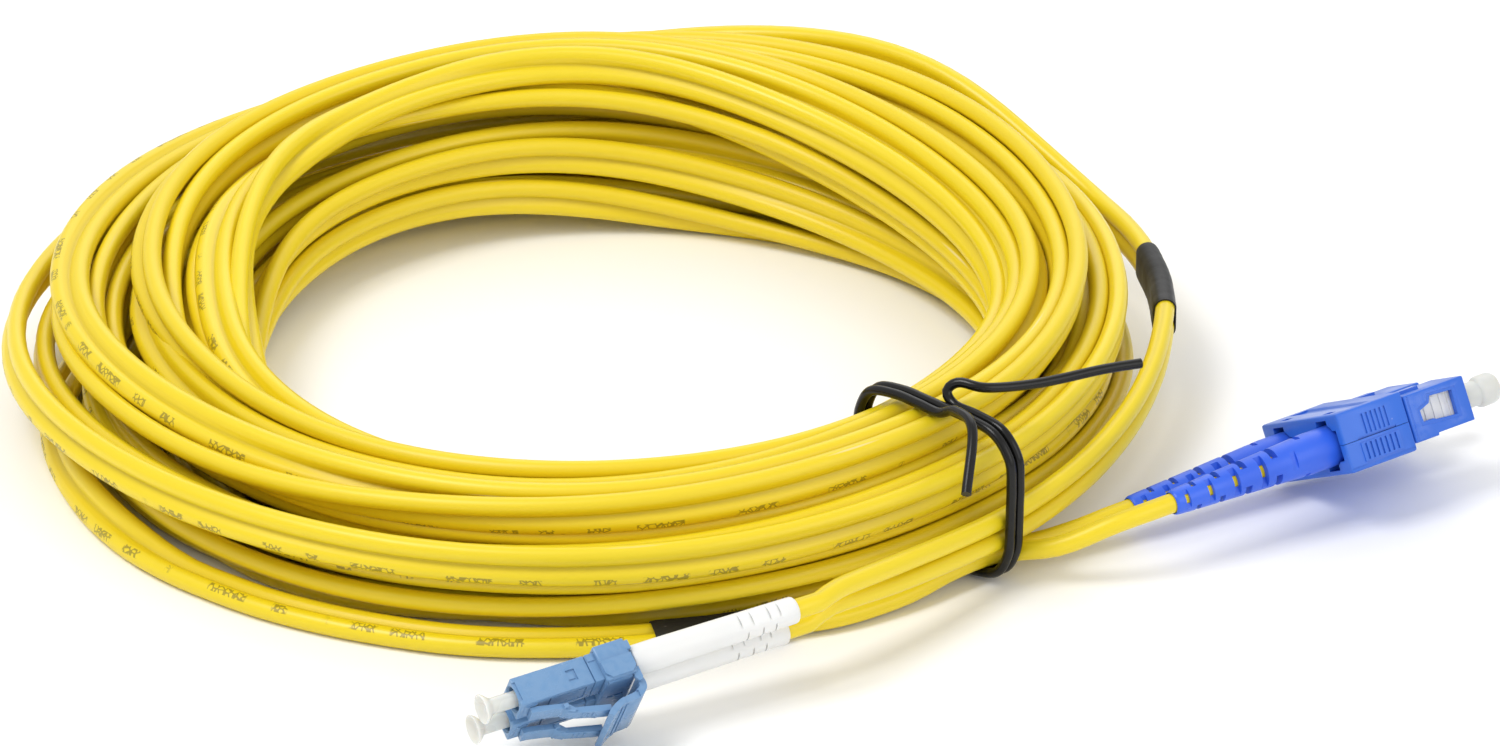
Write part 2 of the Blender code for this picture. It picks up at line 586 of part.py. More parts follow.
def lc_plug(tag, axis):
    """One LC plug about its own ferrule axis. Returns where its leg starts and leaves the boot."""
    rear = -LC_HOUSING_L
    stop_x = -LC_SHROUD_DEPTH - LC_WALL_X
    housing = bar(f"{tag}_housing", rear, 0.0, LC_SIDE, LC_SIDE, "lc_blue", axis)
    bored(housing, -LC_SHROUD_DEPTH, 1 * MM, LC_SHROUD_D, axis)
    bored(housing, stop_x - MM, -LC_SHROUD_DEPTH + MM, LC_FERRULE_D + 2 * SLIDE_GAP, axis, SMALL_SIDES)
    bored(housing, rear - MM, stop_x, LC_BORE_D, axis)
    flange_x = stop_x - TOUCH_GAP
    ferrule_group(tag, axis, LC_FERRULE_TIP, LC_FERRULE_D, LC_FERRULE_L, flange_x, LC_FLANGE_L,
                  LC_FLANGE_D, LC_FLANGE_TAIL, SMALL_SIDES)
    body_front = rear - TOUCH_GAP
    body_rear = body_front - LC_REAR_BODY_L
    seat_x = rear + TOUCH_GAP
    spring(f"{tag}_spring", seat_x + TOUCH_GAP, flange_x - LC_FLANGE_L - TOUCH_GAP, LC_SPRING_D,
           LC_SPRING_WIRE, LC_SPRING_TURNS, "metal", axis)
    body = bar(f"{tag}_rear_body", body_rear, body_front, LC_SIDE, LC_SIDE, "lc_blue", axis)
    spigot = turned(f"joined_{tag}", [(seat_x, 0.0), (seat_x, LC_BORE_D / 2 - SLIDE_GAP),
                                      (body_rear + MM, LC_BORE_D / 2 - SLIDE_GAP), (body_rear + MM,
                                                                                    0.0)], None, axis)
    stem_end = body_rear - LC_STEM_L
    stem = turned(f"stem_{tag}", [(body_rear + MM, 0.0), (body_rear + MM, LC_STEM_D / 2),
                                  (stem_end, LC_STEM_D / 2), (stem_end, 0.0)], None, axis)
    for piece in (spigot, stem):
        join(body, piece)
    bored(body, stem_end - MM, seat_x + MM, BUFFER_D + 2 * SLIDE_GAP, axis, SMALL_SIDES)
    crimp_d = LC_STEM_D + 2 * SLIDE_GAP + 2 * LC_CRIMP_WALL
    crimp_x = body_rear - TOUCH_GAP
    tube(f"{tag}_crimp_sleeve", crimp_x - LC_CRIMP_L, crimp_x, LC_STEM_D + 2 * SLIDE_GAP, crimp_d,
         "metal", axis)
    boot_front = body_rear - TOUCH_GAP
    cavity_end = stem_end - 2 * TOUCH_GAP
    boot_rear = boot_front - LC_BOOT_L
    boot(f"{tag}_boot", axis, boot_rear, boot_front, *LC_BOOT_D, crimp_d + 2 * SLIDE_GAP, cavity_end,
         LC_CRIMP_L, "white")
    dust_cap(f"{tag}_dust_cap", axis, LC_FERRULE_D, LC_FERRULE_TIP, LC_CAP_BARREL_D, LC_CAP_DEPTH,
             LC_CAP_DISC_D, LC_CAP_DISC_X, SMALL_SIDES)
    leg_start = stem_end - TOUCH_GAP
    tail_end = flange_x - LC_FLANGE_L - LC_FLANGE_TAIL[1]
    wire(f"{tag}_buffered_fibre", [Vector((leg_start + TOUCH_GAP / 2, 0, 0)),
                                   Vector((tail_end - LC_TRAVEL - TOUCH_GAP, 0,
                                           0))], BUFFER_D, "buffer", axis)
    return leg_start, boot_rear, body_front, body_rear


def lc_connector(frame):
    """The duplex LC connector: two plugs in one clip, with a trigger over both latches."""
    connector = empty("lc_connector", frame, LC_PLACE, LC_TURN)
    plug_y = {"a": -LC_PITCH / 2, "b": LC_PITCH / 2}
    for side, y in plug_y.items():
        axis = empty(f"lc_{side}_axis", connector, (0, y, 0))
        leg_start, boot_rear, body_front, body_rear = lc_plug(f"lc_{side}", axis)
        hinge = empty(f"lc_{side}_latch_hinge", axis, (LC_LATCH_HINGE[0], 0, LC_LATCH_HINGE[1]))
        lift = (LC_SIDE / 2 + TOUCH_GAP + LC_LATCH_T / 2) / MM - LC_LATCH_LINE[0][1]
        low_line = [(x, z + lift) for x, z in LC_LATCH_LINE]
        bevelled(strip(f"lc_{side}_latch", low_line, LC_LATCH_T, LC_LATCH_W, "lc_blue", hinge,
                       LC_LATCH_HINGE), 0.12 * MM)
        bpy.context.view_layer.update()
        leg(f"lc_{side}_leg", connector, y, leg_start, boot_rear, LC_LEG_ROUTES[side], frame)
    hole = LC_SIDE + 2 * SLIDE_GAP
    outer = hole + 2 * LC_CLIP_WALL
    x0 = body_rear + TOUCH_GAP
    clip = box("lc_clip", (x0, -LC_PITCH / 2 - outer / 2, -outer / 2),
               (x0 + LC_CLIP_L - TOUCH_GAP, LC_PITCH / 2 + outer / 2, outer / 2), "lc_blue", connector)
    bevelled(clip, 0.4 * MM)
    for side, y in plug_y.items():
        cut(clip, box(f"socket_{side}", (x0 - MM, y - hole / 2, -hole / 2),
                      (x0 + LC_CLIP_L + MM, y + hole / 2, hole / 2), None, connector))
    hinge = empty("lc_trigger_hinge", connector, (LC_TRIGGER_HINGE[0], 0, LC_TRIGGER_HINGE[1]))
    bevelled(strip("lc_trigger", LC_TRIGGER_LINE, LC_TRIGGER_T, LC_TRIGGER_W, "lc_blue", hinge,
                   LC_TRIGGER_HINGE), 0.15 * MM)


def sc_plug(tag, axis):
    """One SC plug about its own ferrule axis. Returns where its leg starts."""
    x0, x1 = SC_HOUSING_X
    shoulder = SC_CLIP[0] + TOUCH_GAP
    inner = [d + 2 * SLIDE_GAP for d in SC_FRAME]
    housing = bar(f"{tag}_housing", x0, x1, *SC_NOSE, "sc_blue", axis)
    for n, sign in enumerate((-1, 1)):
        cut(housing, box(f"waist_y{n}_{tag}", (x0 - MM, min(sign * SC_REAR[0] / 2, sign * SC_NOSE[0]),
                                               -SC_NOSE[1]),
                         (shoulder, max(sign * SC_REAR[0] / 2, sign * SC_NOSE[0]),
                          SC_NOSE[1]), None, axis))
        cut(housing, box(f"waist_z{n}_{tag}", (x0 - MM, -SC_NOSE[0],
                                               min(sign * SC_REAR[1] / 2, sign * SC_NOSE[1])),
                         (shoulder, SC_NOSE[0], max(sign * SC_REAR[1] / 2,
                                                    sign * SC_NOSE[1])), None, axis))
    key_rear, key_front, key_width, key_height = SC_KEY
    top = SC_NOSE[1] / 2
    join(housing, box(f"key_{tag}", (key_rear, -key_width / 2, top - 2 * key_height),
                      (key_front, key_width / 2, top + key_height), None, axis))
    cut(housing, bar(f"bore_{tag}", x0 - 2 * MM, x1 + MM, *inner, None, axis))
    cut(housing, box(f"window_{tag}", (SC_WINDOW_X[0], -SC_NOSE[0], SC_WINDOW_Z[0]),
                     (SC_WINDOW_X[1], SC_NOSE[0], SC_WINDOW_Z[1]), None, axis))
    cut(housing, box(f"slot_{tag}", (SC_SLOT_X, -SC_NOSE[0] * 1.1, SC_SLOT_Z[0]),
                     (SC_WINDOW_X[0] + MM, SC_NOSE[0] * 1.1, SC_SLOT_Z[1]), None, axis))
    frame = bar(f"{tag}_plug_frame", *SC_FRAME_X, *SC_FRAME, "white", axis)
    bored(frame, SC_STOP_WALL_X[1], SC_FRAME_X[1] + MM, SC_CAVITY_D, axis)
    bored(frame, SC_STOP_WALL_X[0] - MM, SC_STOP_WALL_X[1] + MM, SC_FERRULE_D + 2 * SLIDE_GAP, axis)
    bored(frame, SC_FRAME_X[0] - MM, SC_STOP_WALL_X[0], SC_BORE_D, axis)
    flange_x = SC_STOP_WALL_X[0] - TOUCH_GAP
    ferrule_group(tag, axis, SC_FERRULE_TIP, SC_FERRULE_D, SC_FERRULE_L, flange_x, SC_FLANGE_L,
                  SC_FLANGE_D, SC_FLANGE_TAIL, ROUND_SIDES)
    spring(f"{tag}_spring", SC_STOP_X[1] + TOUCH_GAP, flange_x - SC_FLANGE_L - TOUCH_GAP, SC_SPRING_D,
           SC_SPRING_WIRE, SC_SPRING_TURNS, "metal", axis)
    bore = (BUFFER_D + 2 * SLIDE_GAP) / 2
    turned(f"{tag}_stop", [(SC_STOP_X[1], bore), (SC_STOP_X[1], SC_STOP_D / 2),
                           (SC_STOP_X[0], SC_STOP_D / 2), (SC_STOP_X[0], SC_STEM_D / 2),
                           (SC_STEM_END, SC_STEM_D / 2), (SC_STEM_END, bore)], "metal", axis)
    crimp_bore = SC_STEM_D + 2 * SLIDE_GAP
    crimp_d = crimp_bore + 2 * SC_CRIMP_WALL
    tube(f"{tag}_crimp_sleeve", *SC_CRIMP_X, crimp_bore, crimp_d, "metal", axis)
    boot(f"{tag}_boot", axis, *SC_BOOT_X, *SC_BOOT_D, crimp_d + 2 * SLIDE_GAP,
         SC_CRIMP_X[0] - TOUCH_GAP, SC_BOOT_STRAIGHT, "boot_blue")
    dust_cap(f"{tag}_dust_cap", axis, SC_FERRULE_D, SC_FERRULE_TIP, SC_CAP_BARREL_D, SC_CAP_DEPTH,
             SC_CAP_DISC_D, SC_CAP_DISC_X, ROUND_SIDES)
    leg_start = SC_CRIMP_X[0] - 2 * TOUCH_GAP
    tail_end = flange_x - SC_FLANGE_L - SC_FLANGE_TAIL[1]
    wire(f"{tag}_buffered_fibre", [Vector((leg_start + TOUCH_GAP, 0, 0)),
                                   Vector((tail_end - SC_TRAVEL - TOUCH_GAP, 0,
                                           0))], BUFFER_D, "buffer", axis)
    return leg_start


def sc_clip(name, low_z, high_z, connector):
    """Half of the clip that joins the two SC plugs and is gripped to release them."""
    length, width, height = SC_CLIP
    half = box(name, (0.0, -width / 2, low_z), (length, width / 2, high_z), "sc_blue", connector)
    for n, y in enumerate((-SC_PITCH / 2, SC_PITCH / 2)):
        hold = [d / 2 + SLIDE_GAP for d in SC_REAR]
        cut(half, box(f"nest{n}_{name}", (SC_CLIP_BACK, y - hold[0], -hold[1]),
                      (length + MM, y + hold[0], hold[1]), None, connector))
        socket = empty(f"socket{n}_{name}", connector, (0, y, 0))
        bored(half, -MM, SC_CLIP_BACK + MM, SC_BOOT_D[0] + 2 * TOUCH_GAP, socket)
    return half


def sc_connector(frame):
    """The duplex SC connector: two push-pull plugs in a two-part clip."""
    connector = empty("sc_connector", frame, SC_PLACE, SC_TURN)
    for side, sign in (("a", -1), ("b", 1)):
        y = sign * SC_PITCH / 2
        axis = empty(f"sc_{side}_axis", connector, (0, y, 0))
        leg_start = sc_plug(f"sc_{side}", axis)
        bpy.context.view_layer.update()
        leg(f"sc_{side}_leg", connector, y, leg_start, SC_BOOT_X[0], SC_LEG_ROUTES[side], frame)
    half_height = SC_CLIP[2] / 2
    sc_clip("sc_clip_lower", -half_height, SC_CLIP_SEAM - TOUCH_GAP / 2, connector)
    sc_clip("sc_clip_upper", SC_CLIP_SEAM + TOUCH_GAP / 2, half_height, connector)


def main():
    clear_scene()
    frame = empty("patch_cord", None, COIL_CENTRE)
    cord(frame)
    lc_connector(frame)
    sc_connector(frame)
    bpy.context.view_layer.update()


main()
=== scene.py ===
"""Looks of a coiled duplex fibre optic patch cord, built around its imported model.

The yellow duplex cord is laid turn by turn, tied with a black twist tie, and ends in a duplex LC
and a duplex SC connector. Lengths in the classes are in millimetres unless a name ends in _m;
finished meshes are in metres. Connector pieces are made in the connector's own frame: X along the
ferrules to the nose, Y from plug a to plug b, Z towards the latches (LC) or the keys (SC).
"""

from __future__ import annotations

import json
import logging
import math
from dataclasses import dataclass, field
from enum import Enum
from typing import Callable, Iterable, Sequence

import bmesh
import bpy
import numpy as np
from mathutils import Matrix, Vector

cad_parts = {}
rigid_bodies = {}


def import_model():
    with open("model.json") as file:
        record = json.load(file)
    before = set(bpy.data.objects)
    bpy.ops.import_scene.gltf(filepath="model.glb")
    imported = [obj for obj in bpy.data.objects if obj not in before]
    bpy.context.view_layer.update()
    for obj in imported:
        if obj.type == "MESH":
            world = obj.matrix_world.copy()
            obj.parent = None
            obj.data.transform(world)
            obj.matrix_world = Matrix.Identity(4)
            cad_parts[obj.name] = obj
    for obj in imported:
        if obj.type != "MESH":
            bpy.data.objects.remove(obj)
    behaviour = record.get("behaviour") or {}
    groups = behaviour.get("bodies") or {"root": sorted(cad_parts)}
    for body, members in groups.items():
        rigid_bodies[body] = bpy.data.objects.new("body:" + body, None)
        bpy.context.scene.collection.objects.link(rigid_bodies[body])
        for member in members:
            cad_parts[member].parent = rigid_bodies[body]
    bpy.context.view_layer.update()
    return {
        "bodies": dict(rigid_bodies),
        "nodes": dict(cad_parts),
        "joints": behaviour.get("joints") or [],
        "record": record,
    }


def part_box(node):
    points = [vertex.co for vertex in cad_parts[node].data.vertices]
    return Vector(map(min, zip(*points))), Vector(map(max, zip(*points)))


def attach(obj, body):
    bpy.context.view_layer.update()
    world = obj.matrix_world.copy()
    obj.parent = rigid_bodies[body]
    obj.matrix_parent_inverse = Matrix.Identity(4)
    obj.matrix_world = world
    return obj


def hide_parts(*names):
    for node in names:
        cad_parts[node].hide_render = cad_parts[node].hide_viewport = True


MM = 0.001
LOG = logging.getLogger("patch_cord")
IMAGE_SIZE = (1500, 746)

Point = tuple[float, float, float]
Outline = Sequence[tuple[float, float]]


class Slot(Enum):
    """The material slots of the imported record."""

    JACKET = "jacket"
    BUFFER = "buffer"
    SLEEVE = "sleeve"
    TIE = "tie"
    LC_BLUE = "lc_blue"
    SC_BLUE = "sc_blue"
    BOOT_BLUE = "boot_blue"
    WHITE = "white"
    CAP = "cap"
    CERAMIC = "ceramic"
    METAL = "metal"


# ---------------------------------------------------------------------------------------------
# Node graphs
# ---------------------------------------------------------------------------------------------


class Graph:
    """A node tree under construction, for shaders and for geometry."""

    def __init__(self, tree: bpy.types.NodeTree) -> None:
        """Starts on a tree, which keeps the nodes that it has."""
        self.tree = tree

    def add(self, kind: str, inputs: dict | None = None, **settings) -> bpy.types.Node:
        """Adds a node.

        Args:
            kind: Blender's name of the node type.
            inputs: socket name or index to a plain value or to the output socket that feeds it.
            settings: the node's own properties.

        Returns:
            The new node.
        """
        node = self.tree.nodes.new(kind)
        for name, value in settings.items():
            setattr(node, name, value)
        for name, value in (inputs or {}).items():
            socket = node.inputs[name]
            if isinstance(value, bpy.types.NodeSocket):
                self.tree.links.new(value, socket)
            else:
                socket.default_value = value
        return node

    def math(self, operation: str, *values, clamp: bool = False) -> bpy.types.NodeSocket:
        """A shader or geometry Math node. Returns its output."""
        node = self.add("ShaderNodeMath", dict(enumerate(values)), operation=operation, use_clamp=clamp)
        return node.outputs[0]

    def ramp(self, value: bpy.types.NodeSocket, low: float, high: float,
             to_low: float = 0.0, to_high: float = 1.0) -> bpy.types.NodeSocket:
        """A smooth Map Range from low..high to to_low..to_high. Returns its output."""
        values = {"Value": value, "From Min": low, "From Max": high, "To Min": to_low, "To Max": to_high}
        return self.add("ShaderNodeMapRange", values, interpolation_type="SMOOTHSTEP").outputs[0]

    def blend(self, share, first, second) -> bpy.types.NodeSocket:
        """Mixes two colours by a share, which may be a socket. Returns the colour."""
        node = self.add("ShaderNodeMix", data_type="RGBA")
        for index, value in ((0, share), (6, first), (7, second)):
            if isinstance(value, bpy.types.NodeSocket):
                self.tree.links.new(value, node.inputs[index])
            else:
                node.inputs[index].default_value = value
        return node.outputs[2]


def new_group(name: str, kind: str, inputs: dict[str, tuple], outputs: dict[str, str]) -> Graph:
    """An empty node group with named sockets.

    Args:
        name: the group's name.
        kind: "ShaderNodeTree" or "GeometryNodeTree".
        inputs: socket name to (socket type, default value or None).
        outputs: socket name to socket type.

    Returns:
        The group's graph, with its input and output nodes as .source and .sink.
    """
    tree = bpy.data.node_groups.new(name, kind)
    for label, (socket_type, default) in inputs.items():
        socket = tree.interface.new_socket(label, in_out="INPUT", socket_type=socket_type)
        if default is not None:
            socket.default_value = default
    for label, socket_type in outputs.items():
        tree.interface.new_socket(label, in_out="OUTPUT", socket_type=socket_type)
    graph = Graph(tree)
    graph.source = graph.add("NodeGroupInput").outputs
    graph.sink = graph.add("NodeGroupOutput").inputs
    return graph


# ---------------------------------------------------------------------------------------------
# Geometry Nodes: what follows a path, and what repeats in a row
# ---------------------------------------------------------------------------------------------


def sweep_tree() -> bpy.types.NodeTree:
    """A tree that sweeps a section along a line, keeping how far along and where across it is.

    Returns:
        A tree whose input is a line of edges with a "tilt" per point.
    """
    g = new_group("sweep_section", "GeometryNodeTree",
                  {"Line": ("NodeSocketGeometry", None), "Section": ("NodeSocketObject", None),
                   "Level": ("NodeSocketBool", True), "Finish": ("NodeSocketMaterial", None)},
                  {"Piece": "NodeSocketGeometry"})
    g.tree.is_modifier = True
    line = g.add("GeometryNodeMeshToCurve", {"Mesh": g.source["Line"]}).outputs[0]
    level = g.add("GeometryNodeSetCurveNormal", {"Curve": line, "Selection": g.source["Level"]},
                  mode="Z_UP")
    tilt = g.add("GeometryNodeInputNamedAttribute", {"Name": "tilt"}, data_type="FLOAT")
    tilted = g.add("GeometryNodeSetCurveTilt", {"Curve": level.outputs[0],
                                                "Tilt": tilt.outputs[0]}).outputs[0]
    length = g.add("GeometryNodeSplineParameter").outputs["Length"]
    marked = g.add("GeometryNodeStoreNamedAttribute",
                   {"Geometry": tilted, "Name": "along",
                    "Value": length}, data_type="FLOAT", domain="POINT")
    section = g.add("GeometryNodeObjectInfo", {"Object": g.source["Section"]}).outputs["Geometry"]
    outline = g.add("GeometryNodeMeshToCurve", {"Mesh": section}).outputs[0]
    place = g.add("GeometryNodeInputPosition").outputs[0]
    across = g.add("GeometryNodeStoreNamedAttribute",
                   {"Geometry": outline, "Name": "across",
                    "Value": place}, data_type="FLOAT_VECTOR", domain="POINT")
    skin = g.add("GeometryNodeCurveToMesh",
                 {"Curve": marked.outputs[0], "Profile Curve": across.outputs[0],
                  "Fill Caps": True}).outputs[0]
    solid = g.add("GeometryNodeRealizeInstances", {"Geometry": skin}).outputs[0]
    dressed = g.add("GeometryNodeSetMaterial", {"Geometry": solid,
                                                "Material": g.source["Finish"]}).outputs[0]
    g.tree.links.new(dressed, g.sink["Piece"])
    return g.tree


def row_tree() -> bpy.types.NodeTree:
    """A tree that sets equal blocks in a straight row. Returns the tree."""
    g = new_group("row_of_blocks", "GeometryNodeTree",
                  {"Base": ("NodeSocketGeometry", None), "Count": ("NodeSocketInt", 3),
                   "Start": ("NodeSocketVector", None), "Step": ("NodeSocketVector", None),
                   "Size": ("NodeSocketVector", None), "Turn": ("NodeSocketVector", None),
                   "Finish": ("NodeSocketMaterial", None)},
                  {"Piece": "NodeSocketGeometry"})
    g.tree.is_modifier = True
    row = g.add("GeometryNodeMeshLine", {"Count": g.source["Count"], "Start Location": g.source["Start"],
                                         "Offset": g.source["Step"]}, mode="OFFSET").outputs[0]
    block = g.add("GeometryNodeMeshCube", {"Size": g.source["Size"]}).outputs[0]
    placed = g.add("GeometryNodeInstanceOnPoints",
                   {"Points": row, "Instance": block, "Rotation": g.source["Turn"]}).outputs[0]
    solid = g.add("GeometryNodeRealizeInstances", {"Geometry": placed}).outputs[0]
    dressed = g.add("GeometryNodeSetMaterial", {"Geometry": solid,
                                                "Material": g.source["Finish"]}).outputs[0]
    g.tree.links.new(dressed, g.sink["Piece"])
    return g.tree


def grown(name: str, base: bpy.types.Mesh, tree: bpy.types.NodeTree, values: dict) -> bpy.types.Mesh:
    """Runs a geometry tree on a mesh.

    Args:
        name: the new mesh's name.
        base: the mesh that the tree starts from.
        tree: the geometry tree.
        values: input name to value.

    Returns:
        A plain mesh, with no modifier left.
    """
    obj = linked(name, base)
    mod = obj.modifiers.new(tree.name, "NODES")
    mod.node_group = tree
    sockets = {item.name: item.identifier for item in tree.interface.items_tree if item.in_out == "INPUT"}
    for label, value in values.items():
        mod[sockets[label]] = value
    mesh = evaluated_mesh(obj)
    bpy.data.objects.remove(obj)
    mesh.name = name
    return mesh


def linked(name: str, data: bpy.types.ID) -> bpy.types.Object:
    """A new object of that data in the scene, at the origin."""
    obj = bpy.data.objects.new(name, data)
    bpy.context.scene.collection.objects.link(obj)
    return obj


def evaluated_mesh(obj: bpy.types.Object) -> bpy.types.Mesh:
    """The object's mesh as its modifiers leave it."""
    graph = bpy.context.evaluated_depsgraph_get()
    return bpy.data.meshes.new_from_object(obj.evaluated_get(graph), preserve_all_data_layers=True,
                                           depsgraph=graph)


# ---------------------------------------------------------------------------------------------
# Shapes
# ---------------------------------------------------------------------------------------------


class Workpiece:
    """A closed shape that is cut, joined and rounded in a connector's frame, in millimetres."""

    def __init__(self, name: str, verts: Iterable[Sequence[float]], faces: Iterable[Sequence[int]]) -> None:
        """Makes the shape with its faces turned outwards."""
        mesh = bpy.data.meshes.new(name)
        mesh.from_pydata([tuple(v) for v in verts], [], [tuple(f) for f in faces])
        work = bmesh.new()
        work.from_mesh(mesh)
        bmesh.ops.recalc_face_normals(work, faces=work.faces)
        work.to_mesh(mesh)
        work.free()
        self.obj = linked(name, mesh)
        self.tools: list[Workpiece] = []

    def combine(self, operation: str, tools: Sequence[Workpiece]) -> Workpiece:
        """Adds one exact boolean for each tool. Returns the piece."""
        for tool in tools:
            mod = self.obj.modifiers.new(operation.lower(), "BOOLEAN")
            mod.operation = operation
            mod.solver = "EXACT"
            mod.object = tool.obj
            self.tools.append(tool)
        return self

    def cut(self, *tools: Workpiece) -> Workpiece:
        """Takes the tools' shapes away. Returns the piece."""
        return self.combine("DIFFERENCE", tools)

    def join(self, *tools: Workpiece) -> Workpiece:
        """Fuses the tools' shapes on. Returns the piece."""
        return self.combine("UNION", tools)

    def soften(self, width: float, segments: int = 2, angle: float = 32.0) -> Workpiece:
        """Rounds the edges sharper than an angle in degrees. Returns the piece."""
        mod = self.obj.modifiers.new("soften", "BEVEL")
        mod.width = width
        mod.segments = segments
        mod.limit_method = "ANGLE"
        mod.angle_limit = math.radians(angle)
        mod.harden_normals = False
        return self

    def discard(self) -> None:
        """Removes the shape and its tools from the scene."""
        for tool in self.tools:
            tool.discard()
        bpy.data.objects.remove(self.obj)

    def finished(self, place: Matrix) -> bpy.types.Object:
        """Turns the shape into a plain piece.

        Args:
            place: the connector's frame, in metres.

        Returns:
            An object at the origin, smooth-shaded, with its place in its mesh.
        """
        mesh = evaluated_mesh(self.obj)
        name = self.obj.name
        self.discard()
        mesh.transform(place @ Matrix.Scale(MM, 4))
        mesh.materials.clear()
        mesh.shade_smooth()
        mesh.set_sharp_from_angle(angle=math.radians(34))
        return linked(name, mesh)


def block(name: str, low: Point, high: Point) -> Workpiece:
    """A box between two corners."""
    verts = [(x, y, z) for z in (low[2], high[2]) for y in (low[1], high[1]) for x in (low[0], high[0])]
    faces = [(0, 2, 3, 1), (4, 5, 7, 6), (0, 1, 5, 4), (2, 6, 7, 3), (0, 4, 6, 2), (1, 3, 7, 5)]
    return Workpiece(name, verts, faces)


def prism(name: str, outline: Outline, y_low: float, y_high: float) -> Workpiece:
    """An outline of (x, z) points carried from y_low to y_high."""
    n = len(outline)
    verts = [(x, y, z) for y in (y_low, y_high) for x, z in outline]
    faces = [tuple(range(n)), tuple(range(2 * n - 1, n - 1, -1))]
    faces += [(i, (i + 1) % n, (i + 1) % n + n, i + n) for i in range(n)]
    return Workpiece(name, verts, faces)


def turned(name: str, outline: Outline, y: float = 0.0, sides: int = 40) -> Workpiece:
    """A round shape about the line y in the X direction.

    Args:
        name: the piece's name.
        outline: (x, radius) points; an open line from axis to axis, or a closed loop off the axis.
        y: where the axis is.
        sides: how many flats the round has.

    Returns:
        The closed shape.
    """
    verts: list[tuple] = []
    rings: list[list[int]] = []
    for x, radius in outline:
        if radius == 0.0:
            rings.append([len(verts)] * sides)
            verts.append((x, y, 0.0))
            continue
        rings.append([len(verts) + k for k in range(sides)])
        turns = [2 * math.pi * (k + 0.5) / sides for k in range(sides)]
        verts += [(x, y + radius * math.cos(a), radius * math.sin(a)) for a in turns]
    solid = outline[0][1] == 0.0
    pairs = zip(rings, rings[1:]) if solid else zip(rings, rings[1:] + rings[:1])
    faces = []
    for this, following in pairs:
        for k in range(sides):
            j = (k + 1) % sides
            loop = [this[k], following[k], following[j], this[j]]
            faces.append([c for n, c in enumerate(loop) if c not in loop[:n]])
    return Workpiece(name, verts, faces)


def drill(x_low: float, x_high: float, diameter: float, y: float = 0.0) -> Workpiece:
    """A round cutter about the line y."""
    r = diameter / 2
    return turned("drill", [(x_low, 0.0), (x_low, r), (x_high, r), (x_high, 0.0)], y)


def rounded(x: float, radius: float, corner: float, forward: bool,
            steps: int = 4) -> list[tuple[float, float]]:
    """Points of a rounded outer corner of a turned outline.

    Args:
        x: the end face.
        radius: the outer radius.
        corner: the corner's own radius.
        forward: True where the outline runs from the end face to the outside, at the rear end.
        steps: how many flats the corner has.

    Returns:
        (x, radius) points from the end face to the outside, or back where forward is False.
    """
    sign = 1 if forward else -1
    points = []
    for k in range(steps + 1):
        a = math.pi / 2 * k / steps
        points.append((x + sign * corner * (1 - math.sin(a)), radius - corner * (1 - math.cos(a))))
    return points[::-1] if forward else points


class Rows:
    """Sets of equal blocks in a row, used as ribs or as slots."""

    def __init__(self) -> None:
        """Builds the tree once."""
        self.tree = row_tree()

    def set_out(self, name: str, count: int, start: Point, step: Point, size: Point) -> Workpiece:
        """A row of blocks.

        Args:
            name: the piece's name.
            count: how many blocks.
            start: the first block's centre.
            step: from one centre to the next.
            size: each block's sides.

        Returns:
            The blocks as one workpiece.
        """
        base = bpy.data.meshes.new("row_base")
        mesh = grown(name, base, self.tree, {"Count": count, "Start": start, "Step": step, "Size": size})
        piece = Workpiece(name, [v.co[:] for v in mesh.vertices],
                          [tuple(p.vertices) for p in mesh.polygons])
        bpy.data.meshes.remove(mesh)
        return piece


# ---------------------------------------------------------------------------------------------
# Finishes
# ---------------------------------------------------------------------------------------------

Colour = tuple[float, float, float]


def rgba(colour: Colour) -> tuple[float, float, float, float]:
    """The colour with full alpha."""
    return (*colour, 1.0)


def grain_group() -> bpy.types.NodeTree:
    """A shader group for moulded and extruded surfaces: fine relief and broad cloudy patches."""
    g = new_group("moulded_grain", "ShaderNodeTree",
                  {"Vector": ("NodeSocketVector", None), "Grain Scale": ("NodeSocketFloat", 3000.0),
                   "Patch Scale": ("NodeSocketFloat", 120.0)},
                  {"Relief": "NodeSocketFloat", "Patch": "NodeSocketFloat"})
    fine = g.add("ShaderNodeTexNoise", {"Vector": g.source["Vector"], "Scale": g.source["Grain Scale"],
                                        "Detail": 3.0, "Roughness": 0.6}).outputs["Fac"]
    patch = g.add("ShaderNodeTexNoise", {"Vector": g.source["Vector"], "Scale": g.source["Patch Scale"],
                                         "Detail": 2.0}).outputs["Fac"]
    g.tree.links.new(fine, g.sink["Relief"])
    g.tree.links.new(g.ramp(patch, 0.35, 0.65), g.sink["Patch"])
    return g.tree


def wear_and_crease_shade_group() -> bpy.types.NodeTree:
    """A shader group for handled edges and hollows: a wear mask that is high on sharp convex edges, and a
    painted shade mask that is high in concave creases.
    """
    g = new_group("edge_wear", "ShaderNodeTree",
                  {"Vector": ("NodeSocketVector", None), "Break Up": ("NodeSocketFloat", 900.0)},
                  {"Edge": "NodeSocketFloat", "Crease": "NodeSocketFloat"})
    pointiness = g.add("ShaderNodeNewGeometry").outputs["Pointiness"]
    noise = g.add("ShaderNodeTexNoise", {"Vector": g.source["Vector"], "Scale": g.source["Break Up"],
                                         "Detail": 2.0}).outputs["Fac"]
    edge = g.ramp(pointiness, 0.56, 0.70)
    g.tree.links.new(g.math("MULTIPLY", edge, g.ramp(noise, 0.3, 0.6)), g.sink["Edge"])
    # painted shade mask: high in concave creases, where shade falls
    g.tree.links.new(g.ramp(pointiness, 0.44, 0.32), g.sink["Crease"])
    return g.tree


